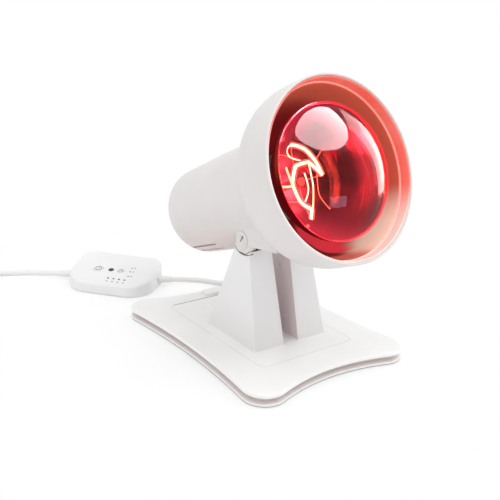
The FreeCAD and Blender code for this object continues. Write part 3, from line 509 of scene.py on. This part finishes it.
def lit_rim_material(colours):
    """White plastic with the bulb's red light painted on: salmon above and beside it, cream below where the
    painted light fades, a painted highlight on its inner edge and a painted glow that fades out low down.
    """
    material, where, shader = new_material("lit rim")
    height = along(where, RIM, UPWARD)
    low_right = along(where, RIM, SIDEWAYS * 0.5 - UPWARD * 0.87)
    soft = noise(where, 30.0)
    depth = head_depth(where)
    # painted highlight along the step of the inner edge
    edge = blend_colours(between(depth, 0.0102, 0.0107), colours.rim_painted_light, (0.95, 0.42, 0.34))
    pale = blend_colours(between(low_right, 0.052, 0.079), edge, colours.cream)
    clouded = blend_colours(rescale(soft, 0.0, 0.12), pale, colours.cream)
    low_left = along(where, RIM, LOW_LEFT)
    shown = blend_colours(between(low_left, 0.025, 0.055), clouded, (0.86, 0.8, 0.76))
    # painted red glow of the plastic, fading out low down
    fill(shader, {"Base Color": shown, "Emission Color": shown,
                  "Emission Strength": product(between(height, -0.07, -0.02), 0.13),
                  "Roughness": rescale(soft, 0.34, 0.44), "Normal": bump(noise(where, 700.0, 2.0), 0.00004)})
    return material


def bowl_material(colours):
    """Satin reflector wall with the bulb's red light painted on, glowing evenly: burnt orange, paler low at
    the right where the painted light fades, painted maroon shade at the left, far back and low beside the
    bulb at the left, and a painted red glow low round the bulb.
    """
    material, where, shader = new_material("reflector wall")
    low_right = along(where, RIM, SIDEWAYS * 0.6 - UPWARD * 0.8)
    low_left = along(where, RIM, LOW_LEFT)
    height = along(where, RIM, UPWARD)
    across = along(where, RIM, SIDEWAYS)
    inward = along(where, RIM, SIDEWAYS * 0.517 + UPWARD * 0.032 - FORWARD * 0.856)
    depth = head_depth(where)
    # painted light: the orange is the bulb's red light, fading to paler low at the right
    grey = blend_colours(between(low_right, 0.057, 0.077), colours.bowl_painted_light, (0.7, 0.52, 0.42))
    # painted red light, stronger low in the bowl at the left
    lowest = product(between(height, -0.062, -0.077), between(across, 0.036, 0.014))
    low = blend_colours(lowest, grey, (0.45, 0.09, 0.06))
    # painted shade: maroon at the left and far back in the bowl
    left = blend_colours(between(low_left, 0.042, 0.066), low, (0.16, 0.004, 0.008))
    painted_far_shade = blend_colours(between(depth, 0.036, 0.058), left, (0.14, 0.006, 0.008))
    # painted shadow low beside the bulb at the left, and a painted red glow low round the bulb just in front
    # of it
    bottom = between(height, -0.034, -0.044)
    shadow = product(between(inward, 0.034, 0.041), between(across, 0.024, 0.01))
    shaded = blend_colours(product(bottom, shadow), painted_far_shade, (0.11, 0.01, 0.012))
    painted_glow_mask = product(bottom, between(across, 0.036, 0.018))
    lit = product(painted_glow_mask, between(inward, 0.0425, 0.0455))
    wall = blend_colours(lit, shaded, (0.66, 0.035, 0.055))
    ripples = noise(where, 90.0)
    # the wall glows in its own colour as painted red light
    fill(shader, {"Base Color": wall, "Emission Color": wall, "Emission Strength": 0.65, "Metallic": 0.1,
                  "Roughness": rescale(ripples, 0.32, 0.45), "Normal": bump(ripples, 0.00005)})
    return material


class HEATLAMP_OT_turn_shade(bpy.types.Operator):
    """Turn the shade, its inner ring and the reflector bowl"""
    bl_idname = "heatlamp.turn_shade"
    bl_label = "Turn Shade"

    def execute(self, context):
        sizes = context.scene.heat_lamp_sizes
        colours = context.scene.heat_lamp_colours
        steps = sizes.turn_steps
        rim, wall = sizes.rim_radius, sizes.shade_wall
        lip = wall / 2
        flank = rim - FLANK_RADIUS
        outer = arc(rim - lip, lip, lip, -180.0, 0.0, 8) + [(rim, 12.0)]
        outer += arc(flank, FLANK_DEPTH, FLANK_RADIUS, 0.0, 46.0, 18)
        inner = arc(flank, FLANK_DEPTH, FLANK_RADIUS - wall, 45.0, 0.0, 14) + [(rim - wall, 12.0)]
        shade = turned("shade_shell", outer + SHADE_BACK + inner, steps)
        white = bpy.data.materials["warm white plastic"]
        finish_piece(shade, white, "head", ("lamp_shade",))
        edge = rim - wall - 0.05
        ring = turned("shade_liner", [(edge - inset, depth) for inset, depth in LINER_STEPS], steps)
        finish_piece(ring, lit_rim_material(colours), "head", ("front_ring",))
        reflector = turned("reflector_bowl", curve_through(BOWL_FRONT, 6) + BOWL_BACK, steps)
        finish_piece(reflector, bowl_material(colours), "head", ("reflector",))
        return {"FINISHED"}


# ---- rear housing ----
VENT_ANGLES = (-34.5, -20.7, -6.9, 6.9, 20.7, 34.5)
VENT_WIDTH, VENT_THROUGH, VENT_LENGTH = 0.003, 0.016, 0.048
VENT_MIDDLE = head_point(0.0, 0.0, 202.0)
VENT_RADIUS = 0.0485


def vent_cutter():
    """Six bars that cut the air slots, joined into one object."""
    bars = []
    for degrees in VENT_ANGLES:
        angle = math.radians(degrees)
        outward = SIDEWAYS * math.sin(angle) - UPWARD * math.cos(angle)
        across = SIDEWAYS * math.cos(angle) + UPWARD * math.sin(angle)
        deselect_all()
        bpy.ops.mesh.primitive_cube_add(size=1.0)
        bar = bpy.context.object
        axes = Matrix((across * VENT_WIDTH, outward * VENT_THROUGH, FORWARD * VENT_LENGTH))
        matrix = axes.transposed().to_4x4()
        matrix.translation = VENT_MIDDLE + outward * VENT_RADIUS
        bar.matrix_world = matrix
        bpy.ops.object.transform_apply(location=True, rotation=True, scale=True)
        bars.append(bar)
    deselect_all()
    for bar in bars:
        bar.select_set(True)
    bpy.context.view_layer.objects.active = bars[0]
    bpy.ops.object.join()
    cutter = bpy.context.object
    bpy.ops.object.mode_set(mode="EDIT")
    bpy.ops.mesh.select_all(action="SELECT")
    bpy.ops.mesh.normals_make_consistent(inside=False)
    bpy.ops.object.mode_set(mode="OBJECT")
    return cutter


def cut_away(obj, cutter):
    """Take the cutter's shape out of a piece."""
    modifier = obj.modifiers.new("slots", "BOOLEAN")
    modifier.operation, modifier.solver, modifier.object = "DIFFERENCE", "EXACT", cutter
    select_only(obj)
    bpy.ops.object.modifier_apply(modifier=modifier.name)
    bpy.data.objects.remove(cutter)


class HEATLAMP_OT_turn_housing(bpy.types.Operator):
    """Turn the rear housing and cut its air slots"""
    bl_idname = "heatlamp.turn_housing"
    bl_label = "Turn Rear Housing"

    def execute(self, context):
        steps = context.scene.heat_lamp_sizes.turn_steps
        inner = [(0.0, 238.6)] + arc(29.2, 224.0, 14.6, 90.0, 0.0, 10) + [(46.0, 150.0), (48.6, 65.6)]
        outer = [(50.6, 65.6), (51.0, 66.0), (49.6, 150.0), (48.4, 176.0)]
        outer += arc(29.2, 224.0, 17.0, 0.0, 90.0, 14) + [(20.0, 241.0), (0.0, 241.0)]
        housing = turned("housing_shell", inner + outer, steps, closed=False)
        cut_away(housing, vent_cutter())
        settle(housing)
        plastic = bpy.data.materials["housing plastic"]
        finish_piece(housing, plastic, "head", ("rear_housing",))
        return {"FINISHED"}


# ---- pivot trim ----
# painted shadow line under an ear and painted shadow in the slot of a cap, each outward, rearward and upward
# from the pivot
EAR_SHADOW_LINE = ((38.1, 10.6, -9.0), (38.1, 8.0, -11.4), (38.1, 3.0, -13.5), (38.1, -4.2, -13.6),
             (38.1, -9.4, -12.4), (36.8, -10.7, -11.9), (33.0, -10.7, -11.8))
SLOT_SHADOW_LINE = ((39.1, 1.7, -1.4), (39.1, -0.2, 1.8), (39.1, -2.1, 4.8))
# ribs of the cap: centre rearward and upward from the pivot, and half length
CAP_RIBS = ((-2.7, -1.6, 3.4), (-3.9, -3.0, 3.0), (-5.0, -4.3, 2.2))
# painted shadow line in the joint behind the footplate, in millimetres from the middle of the base
JOINT_SHADOW_LINE = ((-52.0, 88.95, 12.55), (-38.0, 88.97, 12.6), (-20.0, 88.97, 12.6), (0.0, 88.97, 12.6),
              (20.0, 88.97, 12.6), (38.0, 88.97, 12.6), (52.0, 88.95, 12.55))


def pivot_points(side, line):
    """Points given outward, rearward and upward from the pivot, for one side of the lamp."""
    return [PIVOT + Vector((side * out, rear, up)) * MM for out, rear, up in line]


class HEATLAMP_OT_trim_pivot(bpy.types.Operator):
    """Lay the painted shadow lines under the ears and behind the footplate, the painted shadows in the cap
    slots and the caps' ribs
    """
    bl_idname = "heatlamp.trim_pivot"
    bl_label = "Trim Pivot"

    def execute(self, context):
        # dark strands that stand in for the shade in gaps and slots
        painted_shadow = moulded("grey painted shadow", (0.17, 0.155, 0.15), 0.7)
        ear_shadow_lines = [pivot_points(side, EAR_SHADOW_LINE) for side in (-1, 1)]
        lay_wires("pivot_shadow_lines", ear_shadow_lines, 0.0005, painted_shadow, "stand")
        joint = [Vector(point) * MM for point in JOINT_SHADOW_LINE]
        lay_wires("footplate_shadow_line", [joint], 0.00032, painted_shadow, "stand")
        slots = [pivot_points(side, SLOT_SHADOW_LINE) for side in (-1, 1)]
        lay_wires("cap_slot_shadows", slots, 0.0007, painted_shadow, "head")
        ribs = []
        for side in (-1, 1):
            for rear, up, half in CAP_RIBS:
                line = [(39.25, rear + k * half * 0.76, up - k * half * 0.65) for k in (-1, 0, 1)]
                ribs.append(pivot_points(side, line))
        lay_wires("cap_ribs", ribs, 0.0004, bpy.data.materials["warm white plastic"], "head")
        return {"FINISHED"}


# ---- bulb ----
DOME_RADIUS, DOME_TOP, DOME_END = 99.1, -13.0, 13.0
DOME_ANGLE = math.radians(31.0)
DOME_STEPS, SHOULDER_STEPS = 14, 8
FACE_GLASS, BODY_GLASS = 1.4, 1.3
# (radius, depth) of the mirrored body behind its widest place
BODY_LINE = ((59.7, 21.0), (53.0, 34.0), (43.0, 48.0), (36.6, 58.5), (27.0, 79.0), (20.3, 103.0),
             (17.2, 125.0), (16.0, 140.0))


def dome_curve(bulb_radius, inset):
    """Front glass from the middle to its rounded shoulder."""
    ball = DOME_RADIUS - inset
    angles = [DOME_ANGLE * i / DOME_STEPS for i in range(DOME_STEPS + 1)]
    points = [(ball * math.sin(angle), DOME_TOP + DOME_RADIUS - ball * math.cos(angle)) for angle in angles]
    start, end = points[-1], (bulb_radius - inset, DOME_END)
    reach = 5.2 - inset * 0.4
    leaving = (start[0] + reach * math.cos(DOME_ANGLE), start[1] + reach * math.sin(DOME_ANGLE))
    arriving = (end[0], end[1] - 6.0)
    for t in (i / SHOULDER_STEPS for i in range(1, SHOULDER_STEPS + 1)):
        weights = ((1 - t) ** 3, 3 * (1 - t) ** 2 * t, 3 * (1 - t) * t * t, t ** 3)
        points.append(weighted((start, leaving, arriving, end), weights))
    return points


def red_glass(colours):
    """Clear red glass that shines at its shoulder and low at the left, where the wire lights it."""
    material, where, shader = new_material("red bulb glass")
    shoulder = between(head_depth(where), -0.003, 0.011)
    lowest = near_point(where, head_point(-21.0, -42.0, -5.0), 0.034)
    fill(shader, {"Base Color": colours.glass, "Transmission Weight": 1.0, "Roughness": 0.0, "IOR": 1.2,
                  "Emission Color": (0.9, 0.05, 0.09),
                  "Emission Strength": total(product(shoulder, 0.3), product(lowest, 0.11)),
                  "Normal": bump(noise(where, 26.0, 2.0), 0.0004, 0.25)})
    return material


def mirror_coat():
    """Aluminised inside of the bulb, with painted light and shade: bright near the face, dull half way,
    lighter again at the back, and lit by the wire in the neck.
    """
    material, where, shader = new_material("aluminised glass")
    waves = noise(where, 60.0, 4.0, 0.6)
    depth = head_depth(where)
    # painted light and shade: the mirror's colour changes with depth
    face = blend_colours(between(depth, 0.028, 0.042), (0.62, 0.5, 0.5), (0.06, 0.025, 0.03))
    back = blend_colours(between(depth, 0.06, 0.085), face, (0.55, 0.28, 0.28))
    mottled = blend_colours(rescale(waves, 0.0, 0.3), back, (0.3, 0.12, 0.12))
    patchy = product(between(depth, 0.058, 0.1), rescale(waves, 0.05, 0.38))
    hot_spot = near_point(where, head_point(17.0, -3.0, 105.0), 0.02)
    rings = ring_noise(where, 340.0)
    fill(shader, {"Base Color": mottled, "Roughness": rescale(waves, 0.05, 0.16), "Metallic": 1.0,
                  "Emission Color": (1.0, 0.6, 0.6),
                  "Emission Strength": total(patchy, product(hot_spot, 1.6)),
                  "Normal": bump(total(product(waves, 0.7), product(rings, 0.5)), 0.0012, 0.6)})
    return material


def hot_wire(name, strength):
    """Tungsten wire that glows with this strength."""
    material, where, shader = new_material(name)
    fill(shader, {"Base Color": (0.8, 0.5, 0.3), "Emission Color": (1.0, 0.85, 0.36),
                  "Emission Strength": strength, "Roughness": rescale(noise(where, 500.0), 0.4, 0.6)})
    return material


def wire_glow():
    """Thin haze of light that lies round the hot wire."""
    material, where, shader = new_material("filament glow")
    fill(shader, {"Base Color": (0.3, 0.05, 0.04), "Emission Color": (1.0, 0.75, 0.36), "Alpha": 0.2,
                  "Emission Strength": rescale(noise(where, 160.0), 2.4, 4.4)})
    return material


FILAMENT_DEPTH = 48.0
# bends of the coiled wire, sideways and upward from the bulb's axis, and those that a support holds
FILAMENT_BENDS = ((-12.7, 32.2), (1.6, 27.3), (11.3, 16.0), (16.4, 2.6), (3.1, 15.5), (-12.5, 13.1),
                  (-19.4, -2.6), (-14.5, -18.7), (-3.0, -26.6), (-6.3, -35.3))
HELD_BENDS = (0, 3, 5, 7, 9)
LEAD_IN_BENDS = (((3.1, 15.5), (3.4, 1.5), (3.6, -8.3), (-1.7, -26.0)),
                 ((-4.0, 6.0), (-2.0, -4.0), (-4.0, -13.0), (-9.0, -19.0)),
                 ((-12.7, 32.2), (-17.4, 31.0), (-19.8, 25.0), (-15.5, 20.0), (-6.3, 17.7)))
# strands on the far side of the wire's crown, and the thin dim wires that hold it
SIDE_STRANDS = (((-35.1, 7.3), (-33.9, -6.1), (-33.6, -17.5)), ((-34.2, -3.4), (-28.0, -5.0), (-21.0, -3.9)),
                ((-24.0, 13.0), (-21.8, 3.3), (-19.6, -3.0)))
DIM_WIRES = (((-33.0, 24.0), (-24.0, 25.6), (-13.0, 18.7)), ((22.2, 26.0), (17.5, 21.5), (12.7, 17.5)),
             ((10.6, 4.0), (8.0, -8.0), (8.6, -19.0), (18.0, -29.4)),
             ((-33.6, -17.5), (-26.0, -18.6), (-14.5, -18.7)))


def filament_points(bends):
    return [head_point(x, up, FILAMENT_DEPTH) for x, up in bends]


class HEATLAMP_OT_blow_bulb(bpy.types.Operator):
    """Turn the bulb's red face and mirrored body, and hang its filament"""
    bl_idname = "heatlamp.blow_bulb"
    bl_label = "Make Bulb"

    def execute(self, context):
        sizes = context.scene.heat_lamp_sizes
        steps, radius = sizes.turn_steps, sizes.bulb_radius
        glass = dome_curve(radius, 0.0) + dome_curve(radius, FACE_GLASS)[::-1]
        dome = turned("bulb_dome", glass, steps, closed=False)
        finish_piece(dome, red_glass(context.scene.heat_lamp_colours), "head", ("bulb_face",))
        outer = curve_through(((radius, DOME_END), *BODY_LINE), 5)
        inner = [(across - BODY_GLASS, depth) for across, depth in outer]
        body = turned("bulb_mirror_body", outer + inner[::-1], steps)
        finish_piece(body, mirror_coat(), "head", ("bulb_reflector",))
        bends = filament_points(FILAMENT_BENDS)
        spans = []
        for before, after in zip(bends, bends[1:]):
            middle = (before + after) / 2
            bulge = (middle - head_point(0.0, 0.0, FILAMENT_DEPTH)) * 0.06
            spans.append([before, middle + bulge, after])
        hot = hot_wire("glowing filament", 16.0)
        lay_wires("filament_spans", spans, 0.0013, hot, "head", ("bulb_filament",))
        lay_wires("filament_haze", spans, 0.0028, wire_glow(), "head")
        for name, lines, thickness, material in (
                ("filament_leads", LEAD_IN_BENDS, 0.0005, hot),
                ("filament_side_strands", SIDE_STRANDS, 0.0011, hot_wire("warm strand", 6.0)),
                ("filament_dim_wires", DIM_WIRES, 0.00035, hot_wire("dim wire", 1.5))):
            strands = [filament_points(line) for line in lines]
            lay_wires(name, strands, thickness, material, "head")
        legs = []
        for index in HELD_BENDS:
            x, up = FILAMENT_BENDS[index]
            root, tip = head_point(x * 0.08, up * 0.08, 62.5), bends[index] - FORWARD * 0.0006
            legs.append([root, (root + tip) / 2 - FORWARD * 0.002, tip])
        steel = bpy.data.materials["zinc plated steel"]
        lay_wires("filament_holders", legs, 0.00045, steel, "head", ("filament_supports",))
        return {"FINISHED"}


# ---- controller marks ----
FACE_CENTRE = Vector((-0.0647, 0.203, 0.021))
FACE_TURN = Matrix.Rotation(math.radians(-50.0), 3, "Z") @ Matrix.Rotation(math.atan2(16.0, 68.0), 3, "X")
BUTTON_LIFT = 0.3
# middle of each tick beside a small lamp, and its half length
LAMP_TICKS = ((1.2, -26.6, 0.9), (8.0, -26.6, 0.9), (14.8, -26.6, 0.9), (21.6, -26.6, 0.9), (24.0, 5.8, 0.8),
              (24.6, -2.2, 0.8), (25.8, -11.6, 0.8))


def face_point(x, y, lift):
    """Point over the controller's sloping face, in millimetres from its centre."""
    return FACE_CENTRE + FACE_TURN @ Vector((x, y, lift)) * MM


def face_arc(x, y, radius, start, end, lift, steps=14):
    angles = [math.radians(start + (end - start) * i / steps) for i in range(steps + 1)]
    return [face_point(x + radius * math.cos(a), y + radius * math.sin(a), lift) for a in angles]


def face_line(points, lift):
    return [face_point(x, y, lift) for x, y in points]


class HEATLAMP_OT_print_controller(bpy.types.Operator):
    """Print plain symbols on the buttons, and ticks and rings at the small lamps"""
    bl_idname = "heatlamp.print_controller"
    bl_label = "Print Controller Symbols"

    def execute(self, context):
        ink = moulded("grey printing ink", (0.11, 0.11, 0.115), 0.6)
        power = [face_arc(-18.6, -3.4, 3.7, 115.0, 425.0, BUTTON_LIFT),
                 face_line([(-18.6, -3.0), (-18.6, -0.6), (-18.6, 1.3)], BUTTON_LIFT)]
        clock = [face_arc(9.3, -2.9, 2.8, 0.0, 360.0, BUTTON_LIFT),
                 face_line([(9.3, -0.9), (9.3, -2.2), (9.3, -2.9), (10.2, -3.1), (11.0, -3.4)], BUTTON_LIFT)]
        ticks = [face_line([(x - half, y), (x, y), (x + half, y)], 0.0) for x, y, half in LAMP_TICKS]
        rings = [face_arc(0.5 + 6.8 * i, -20.5, 0.95, 0.0, 360.0, 0.0, 10) for i in range(4)]
        lay_wires("power_symbol", power, 0.0004, ink, "power_button")
        lay_wires("timer_symbol", clock, 0.00025, ink, "timer_button")
        lay_wires("lamp_ticks", ticks, 0.00048, ink, "stand")
        lay_wires("lamp_rings", rings, 0.0003, ink, "stand")
        return {"FINISHED"}


# ---- cords ----
# routes in millimetres; the first point of each is its exit
LAMP_ROUTE = ((48.2, 114.7, 5.3), (37.3, 150.1, 3.4), (7.4, 171.9, 4.3), (-20.5, 173.7, 8.6))
MAINS_ROUTE = ((-97.5, 242.1, 8.0), (-121.3, 270.4, 4.3), (-152.0, 291.1, 3.25), (-186.8, 303.8, 3.25),
               (-210.0, 311.5, 3.25))
COIL_CENTRE = (-226.0, 281.0)
COIL_RADIUS, COIL_LOWEST, COIL_START = 34.0, 3.2, math.radians(68.0)
COIL_STEPS = 14
# place of each turn across and above the others, in cord diameters
COIL_TURNS = ((1, 0), (0, 0), (-1, 0), (-1, 1), (0, 1), (1, 1), (0.5, 2))
TAIL_ROUTE = ((-222.0, 314.9, 19.2), (-235.7, 312.0, 21.8), (-246.6, 303.2, 24.2), (-252.3, 290.4, 25.5),
              (-252.3, 276.4, 25.5))


def coil_points(diameter):
    """Turns of the coil, from the lowest outer one up; each passes to the next in its last quarter."""
    pitch = diameter / MM + 0.1
    last = len(COIL_TURNS) - 1
    points = []
    for i in range(len(COIL_TURNS) * COIL_STEPS + 1):
        turn = i / COIL_STEPS
        low = min(int(turn), last)
        share = max(0.0, (turn - low) * 4.0 - 3.0)
        across, layer = (a + (b - a) * share for a, b in zip(COIL_TURNS[low], COIL_TURNS[min(low + 1, last)]))
        radius = COIL_RADIUS + across * pitch
        angle = COIL_START + math.tau * turn
        points.append((COIL_CENTRE[0] + radius * math.cos(angle), COIL_CENTRE[1] + radius * math.sin(angle),
                       COIL_LOWEST + layer * pitch))
    return points


def make_cord(name, route, diameter, replaced):
    """White cord along a route in millimetres."""
    cord = round_curve(name, [[tuple(c * MM for c in point) for point in route]], diameter / 2, 5, 10)
    finish_piece(cord, bpy.data.materials["white cord jacket"], "stand", replaced)
    return cord


class HEATLAMP_OT_lay_cords(bpy.types.Operator):
    """Lay the lamp cord and the coiled mains lead"""
    bl_idname = "heatlamp.lay_cords"
    bl_label = "Lay Cords"

    def execute(self, context):
        diameter = context.scene.heat_lamp_sizes.cord_diameter
        lamp_cord = make_cord("lamp_lead", LAMP_ROUTE, diameter, ("lamp_cord",))
        mains = make_cord("mains_lead", MAINS_ROUTE + tuple(coil_points(diameter)) + TAIL_ROUTE, diameter,
                          ("mains_cord", "mains_cord_coil", "mains_cord_tail"))
        return {"FINISHED"}


# ---- stage ----
CAMERA_TARGET = Vector((0.0, 0.0024, 0.0826))
CAMERA_DISTANCE = 0.713869
CAMERA_AZIMUTH, CAMERA_ELEVATION, CAMERA_ROLL = (math.radians(angle) for angle in (-38.5026, 19.26696, 3.0))
CAMERA_LENS, CAMERA_SHIFT = 51.144, (-0.02573, 0.0197)
# backdrop: size, where it bends up, steps and stride of the bend, and height of the wall
SHEET_SIZE, SHEET_FOLD, FOLD_STEPS, FOLD_STRIDE, WALL_HEIGHT = 7.0, 3.4, 8, 0.12, 3.0
CONTROLLER_SPOT = (-0.065, 0.203, 0.0)
# name, place along the base and height of the narrow panels at the right
THIN_PANELS = (("first thin panel", -0.45, 0.62), ("second thin panel", -0.76, 0.8))


def camera_matrix():
    """Place and turn of the camera, from its target, distance and angles."""
    azimuth, elevation, roll = CAMERA_AZIMUTH, CAMERA_ELEVATION, CAMERA_ROLL
    right = Vector((math.cos(azimuth), math.sin(azimuth), 0.0))
    back = Vector((math.sin(azimuth) * math.cos(elevation), -math.cos(azimuth) * math.cos(elevation),
                   math.sin(elevation)))
    up = back.cross(right)
    across = right * math.cos(roll) + up * math.sin(roll)
    above = up * math.cos(roll) - right * math.sin(roll)
    matrix = Matrix((across, above, back)).transposed().to_4x4()
    matrix.translation = CAMERA_TARGET + back * CAMERA_DISTANCE
    return matrix


def soft_light(name, place, aim, width, height, watts, colour=(1.0, 1.0, 1.0), shape="RECTANGLE"):
    """Area light at a place, turned toward its aim."""
    light = bpy.data.lights.new(name, "AREA")
    light.shape = shape
    light.size = width
    light.size_y = height
    light.energy = watts
    light.color = colour
    obj = bpy.data.objects.new(name, light)
    bpy.context.scene.collection.objects.link(obj)
    obj.location = place
    obj.rotation_euler = (Vector(aim) - Vector(place)).to_track_quat("-Z", "Y").to_euler()
    return obj


def pale_world(scene, level):
    """Soft even light from all round, seen as plain white."""
    world = bpy.data.worlds.new("pale room")
    scene.world = world
    world.use_nodes = True
    tree = world.node_tree
    tree.nodes["Background"].inputs["Color"].default_value = (1.0, 1.0, 1.0, 1.0)
    strength = map_range(seen_directly(tree), (0.0, 1.0), (level, 1.0))
    link(strength, tree.nodes["Background"].inputs["Strength"])


def seen_directly(tree):
    """One for camera, glossy and transmission rays."""
    path = tree.nodes.new("ShaderNodeLightPath")
    mirrored = combine("MAXIMUM", path.outputs["Is Glossy Ray"], path.outputs["Is Transmission Ray"])
    return combine("MAXIMUM", path.outputs["Is Camera Ray"], mirrored)


def backdrop_sheet():
    """Floor whose far edge bends up into a wall behind the lamp."""
    deselect_all()
    bpy.ops.mesh.primitive_plane_add(size=SHEET_SIZE, rotation=(0.0, 0.0, CAMERA_AZIMUTH))
    sheet = bpy.context.object
    sheet.name = "studio_backdrop"
    away = Vector((-math.sin(CAMERA_AZIMUTH), math.cos(CAMERA_AZIMUTH), 0.0))
    bpy.ops.object.transform_apply(location=True, rotation=True, scale=True)
    for vertex in sheet.data.vertices:
        vertex.select = vertex.co.dot(away) > SHEET_FOLD
    for edge in sheet.data.edges:
        edge.select = all(sheet.data.vertices[i].select for i in edge.vertices)
    for face in sheet.data.polygons:
        face.select = False
    bpy.ops.object.mode_set(mode="EDIT")
    bpy.ops.mesh.select_mode(type="EDGE")
    for step in range(FOLD_STEPS):
        angle = math.radians(90.0 * (step + 0.5) / FOLD_STEPS)
        extrude((away * math.cos(angle) + STRAIGHT_UP * math.sin(angle)) * FOLD_STRIDE)
    extrude(STRAIGHT_UP * WALL_HEIGHT)
    bpy.ops.object.mode_set(mode="OBJECT")
    return sheet


def pale_backdrop():
    """Sheet that shows itself white, and keeps the soft shadow near the base and the controller."""
    sheet = backdrop_sheet()
    material, where, shader = new_material("studio backdrop")
    tree = material.node_tree
    fill(shader, {"Base Color": (0.93, 0.93, 0.93), "Roughness": 0.7, "Specular IOR Level": 0.1})
    glow = tree.nodes.new("ShaderNodeEmission")
    near_base = near_point(where, (0.0, 0.0, 0.0), 0.26)
    near_controller = near_point(where, CONTROLLER_SPOT, 0.12)
    shaded = combine("MAXIMUM", near_base, near_controller)
    weight = product(seen_directly(tree), map_range(shaded, (0.0, 1.0), (1.0, 0.3)))
    mix = tree.nodes.new("ShaderNodeMixShader")
    fill(mix, {"Fac": weight, 1: shader.outputs["BSDF"], 2: glow.outputs["Emission"]})
    output = next(node for node in tree.nodes if node.type == "OUTPUT_MATERIAL")
    link(mix.outputs["Shader"], output.inputs["Surface"])
    cover(sheet, material)


def glint_light(name, *panel, **shape):
    """Soft light that only shows as a reflection on the bulb's face."""
    light = soft_light(name, *panel, **shape)
    receivers = bpy.data.collections.new(name + " receivers")
    receivers.objects.link(bpy.data.objects["bulb_dome"])
    light.light_linking.receiver_collection = receivers


class HEATLAMP_OT_set_stage(bpy.types.Operator):
    """Set the floor, lights, world and camera"""
    bl_idname = "heatlamp.set_stage"
    bl_label = "Set Stage"

    def execute(self, context):
        scene = context.scene
        stage = scene.heat_lamp_stage
        pale_backdrop()
        pale_world(scene, stage.room_level)
        below = Vector((0.0, -0.001, -1.0))
        overhead = Vector((0.5, -0.6, 1.2))
        umbrella = Vector((0.44, -0.46, 1.15))
        middle = (0.0, -0.02, 0.13)
        soft_light("overhead softbox", overhead, overhead + below, 1.2, 1.0, stage.key_watts)
        soft_light("left softbox", (-0.8, 0.1, 1.4), middle, 1.2, 1.2, stage.fill_watts)
        soft_light("right strip", (1.3, 0.05, 0.4), (0.0, 0.05, 0.4), 0.35, 0.9, stage.strip_watts)
        glint_light("glint umbrella", umbrella, umbrella + below, 1.24, 1.14, stage.glint_watts,
                    shape="ELLIPSE")
        glint_light("streak panel", (1.28, -0.1, 0.64), (0.0, -0.1, 0.64), 0.54, 1.3, stage.streak_watts,
                    (1.0, 0.93, 0.92))
        for name, across, height in THIN_PANELS:
            glint_light(name, (1.28, across, height), (0.0, across, height), 0.032, 0.95, 0.3,
                        (1.0, 0.85, 0.85))
        glint_light("front panel", (0.29, -1.02, 0.11), (0.0, -0.1, 0.19), 0.34, 0.17, 1.4, (0.7, 0.76, 1.0))
        camera = bpy.data.cameras.new("camera")
        camera.sensor_fit = "HORIZONTAL"
        camera.sensor_width = 36.0
        camera.lens = CAMERA_LENS
        camera.shift_x, camera.shift_y = CAMERA_SHIFT
        camera.clip_start = 0.05
        camera.clip_end = 20.0
        holder = bpy.data.objects.new("camera", camera)
        scene.collection.objects.link(holder)
        holder.matrix_world = camera_matrix()
        scene.camera = holder
        scene.view_settings.view_transform = "Standard"
        return {"FINISHED"}


class HEATLAMP_PT_sidebar(bpy.types.Panel):
    """Lists the lamp's sizes, colours and building steps"""
    bl_idname = "HEATLAMP_PT_sidebar"
    bl_label = "Heat Lamp"
    bl_space_type = "VIEW_3D"
    bl_region_type = "UI"
    bl_category = "Heat Lamp"

    def draw(self, context):
        layout, scene = self.layout, context.scene
        for group in (scene.heat_lamp_sizes, scene.heat_lamp_colours, scene.heat_lamp_stage):
            box = layout.box()
            for key in group.__annotations__:
                box.prop(group, key)
        for step in STEPS:
            layout.operator(step.bl_idname)


STEPS = (HEATLAMP_OT_finish_frame, HEATLAMP_OT_turn_shade, HEATLAMP_OT_turn_housing, HEATLAMP_OT_trim_pivot,
         HEATLAMP_OT_blow_bulb, HEATLAMP_OT_print_controller, HEATLAMP_OT_lay_cords, HEATLAMP_OT_set_stage)
GROUPS = {"heat_lamp_sizes": HeatLampSizes, "heat_lamp_colours": HeatLampColours,
          "heat_lamp_stage": HeatLampStage}
CLASSES = (*GROUPS.values(), *STEPS, HEATLAMP_PT_sidebar)


def register():
    for cls in CLASSES:
        bpy.utils.register_class(cls)
    for key, group in GROUPS.items():
        setattr(bpy.types.Scene, key, PointerProperty(type=group))


def unregister():
    for key in GROUPS:
        delattr(bpy.types.Scene, key)
    for cls in reversed(CLASSES):
        bpy.utils.unregister_class(cls)


def main():
    register()
    bpy.ops.heatlamp.finish_frame()
    bpy.ops.heatlamp.turn_shade()
    bpy.ops.heatlamp.turn_housing()
    bpy.ops.heatlamp.trim_pivot()
    bpy.ops.heatlamp.blow_bulb()
    bpy.ops.heatlamp.print_controller()
    bpy.ops.heatlamp.lay_cords()
    bpy.ops.heatlamp.set_stage()


if __name__ == "__main__":
    main()
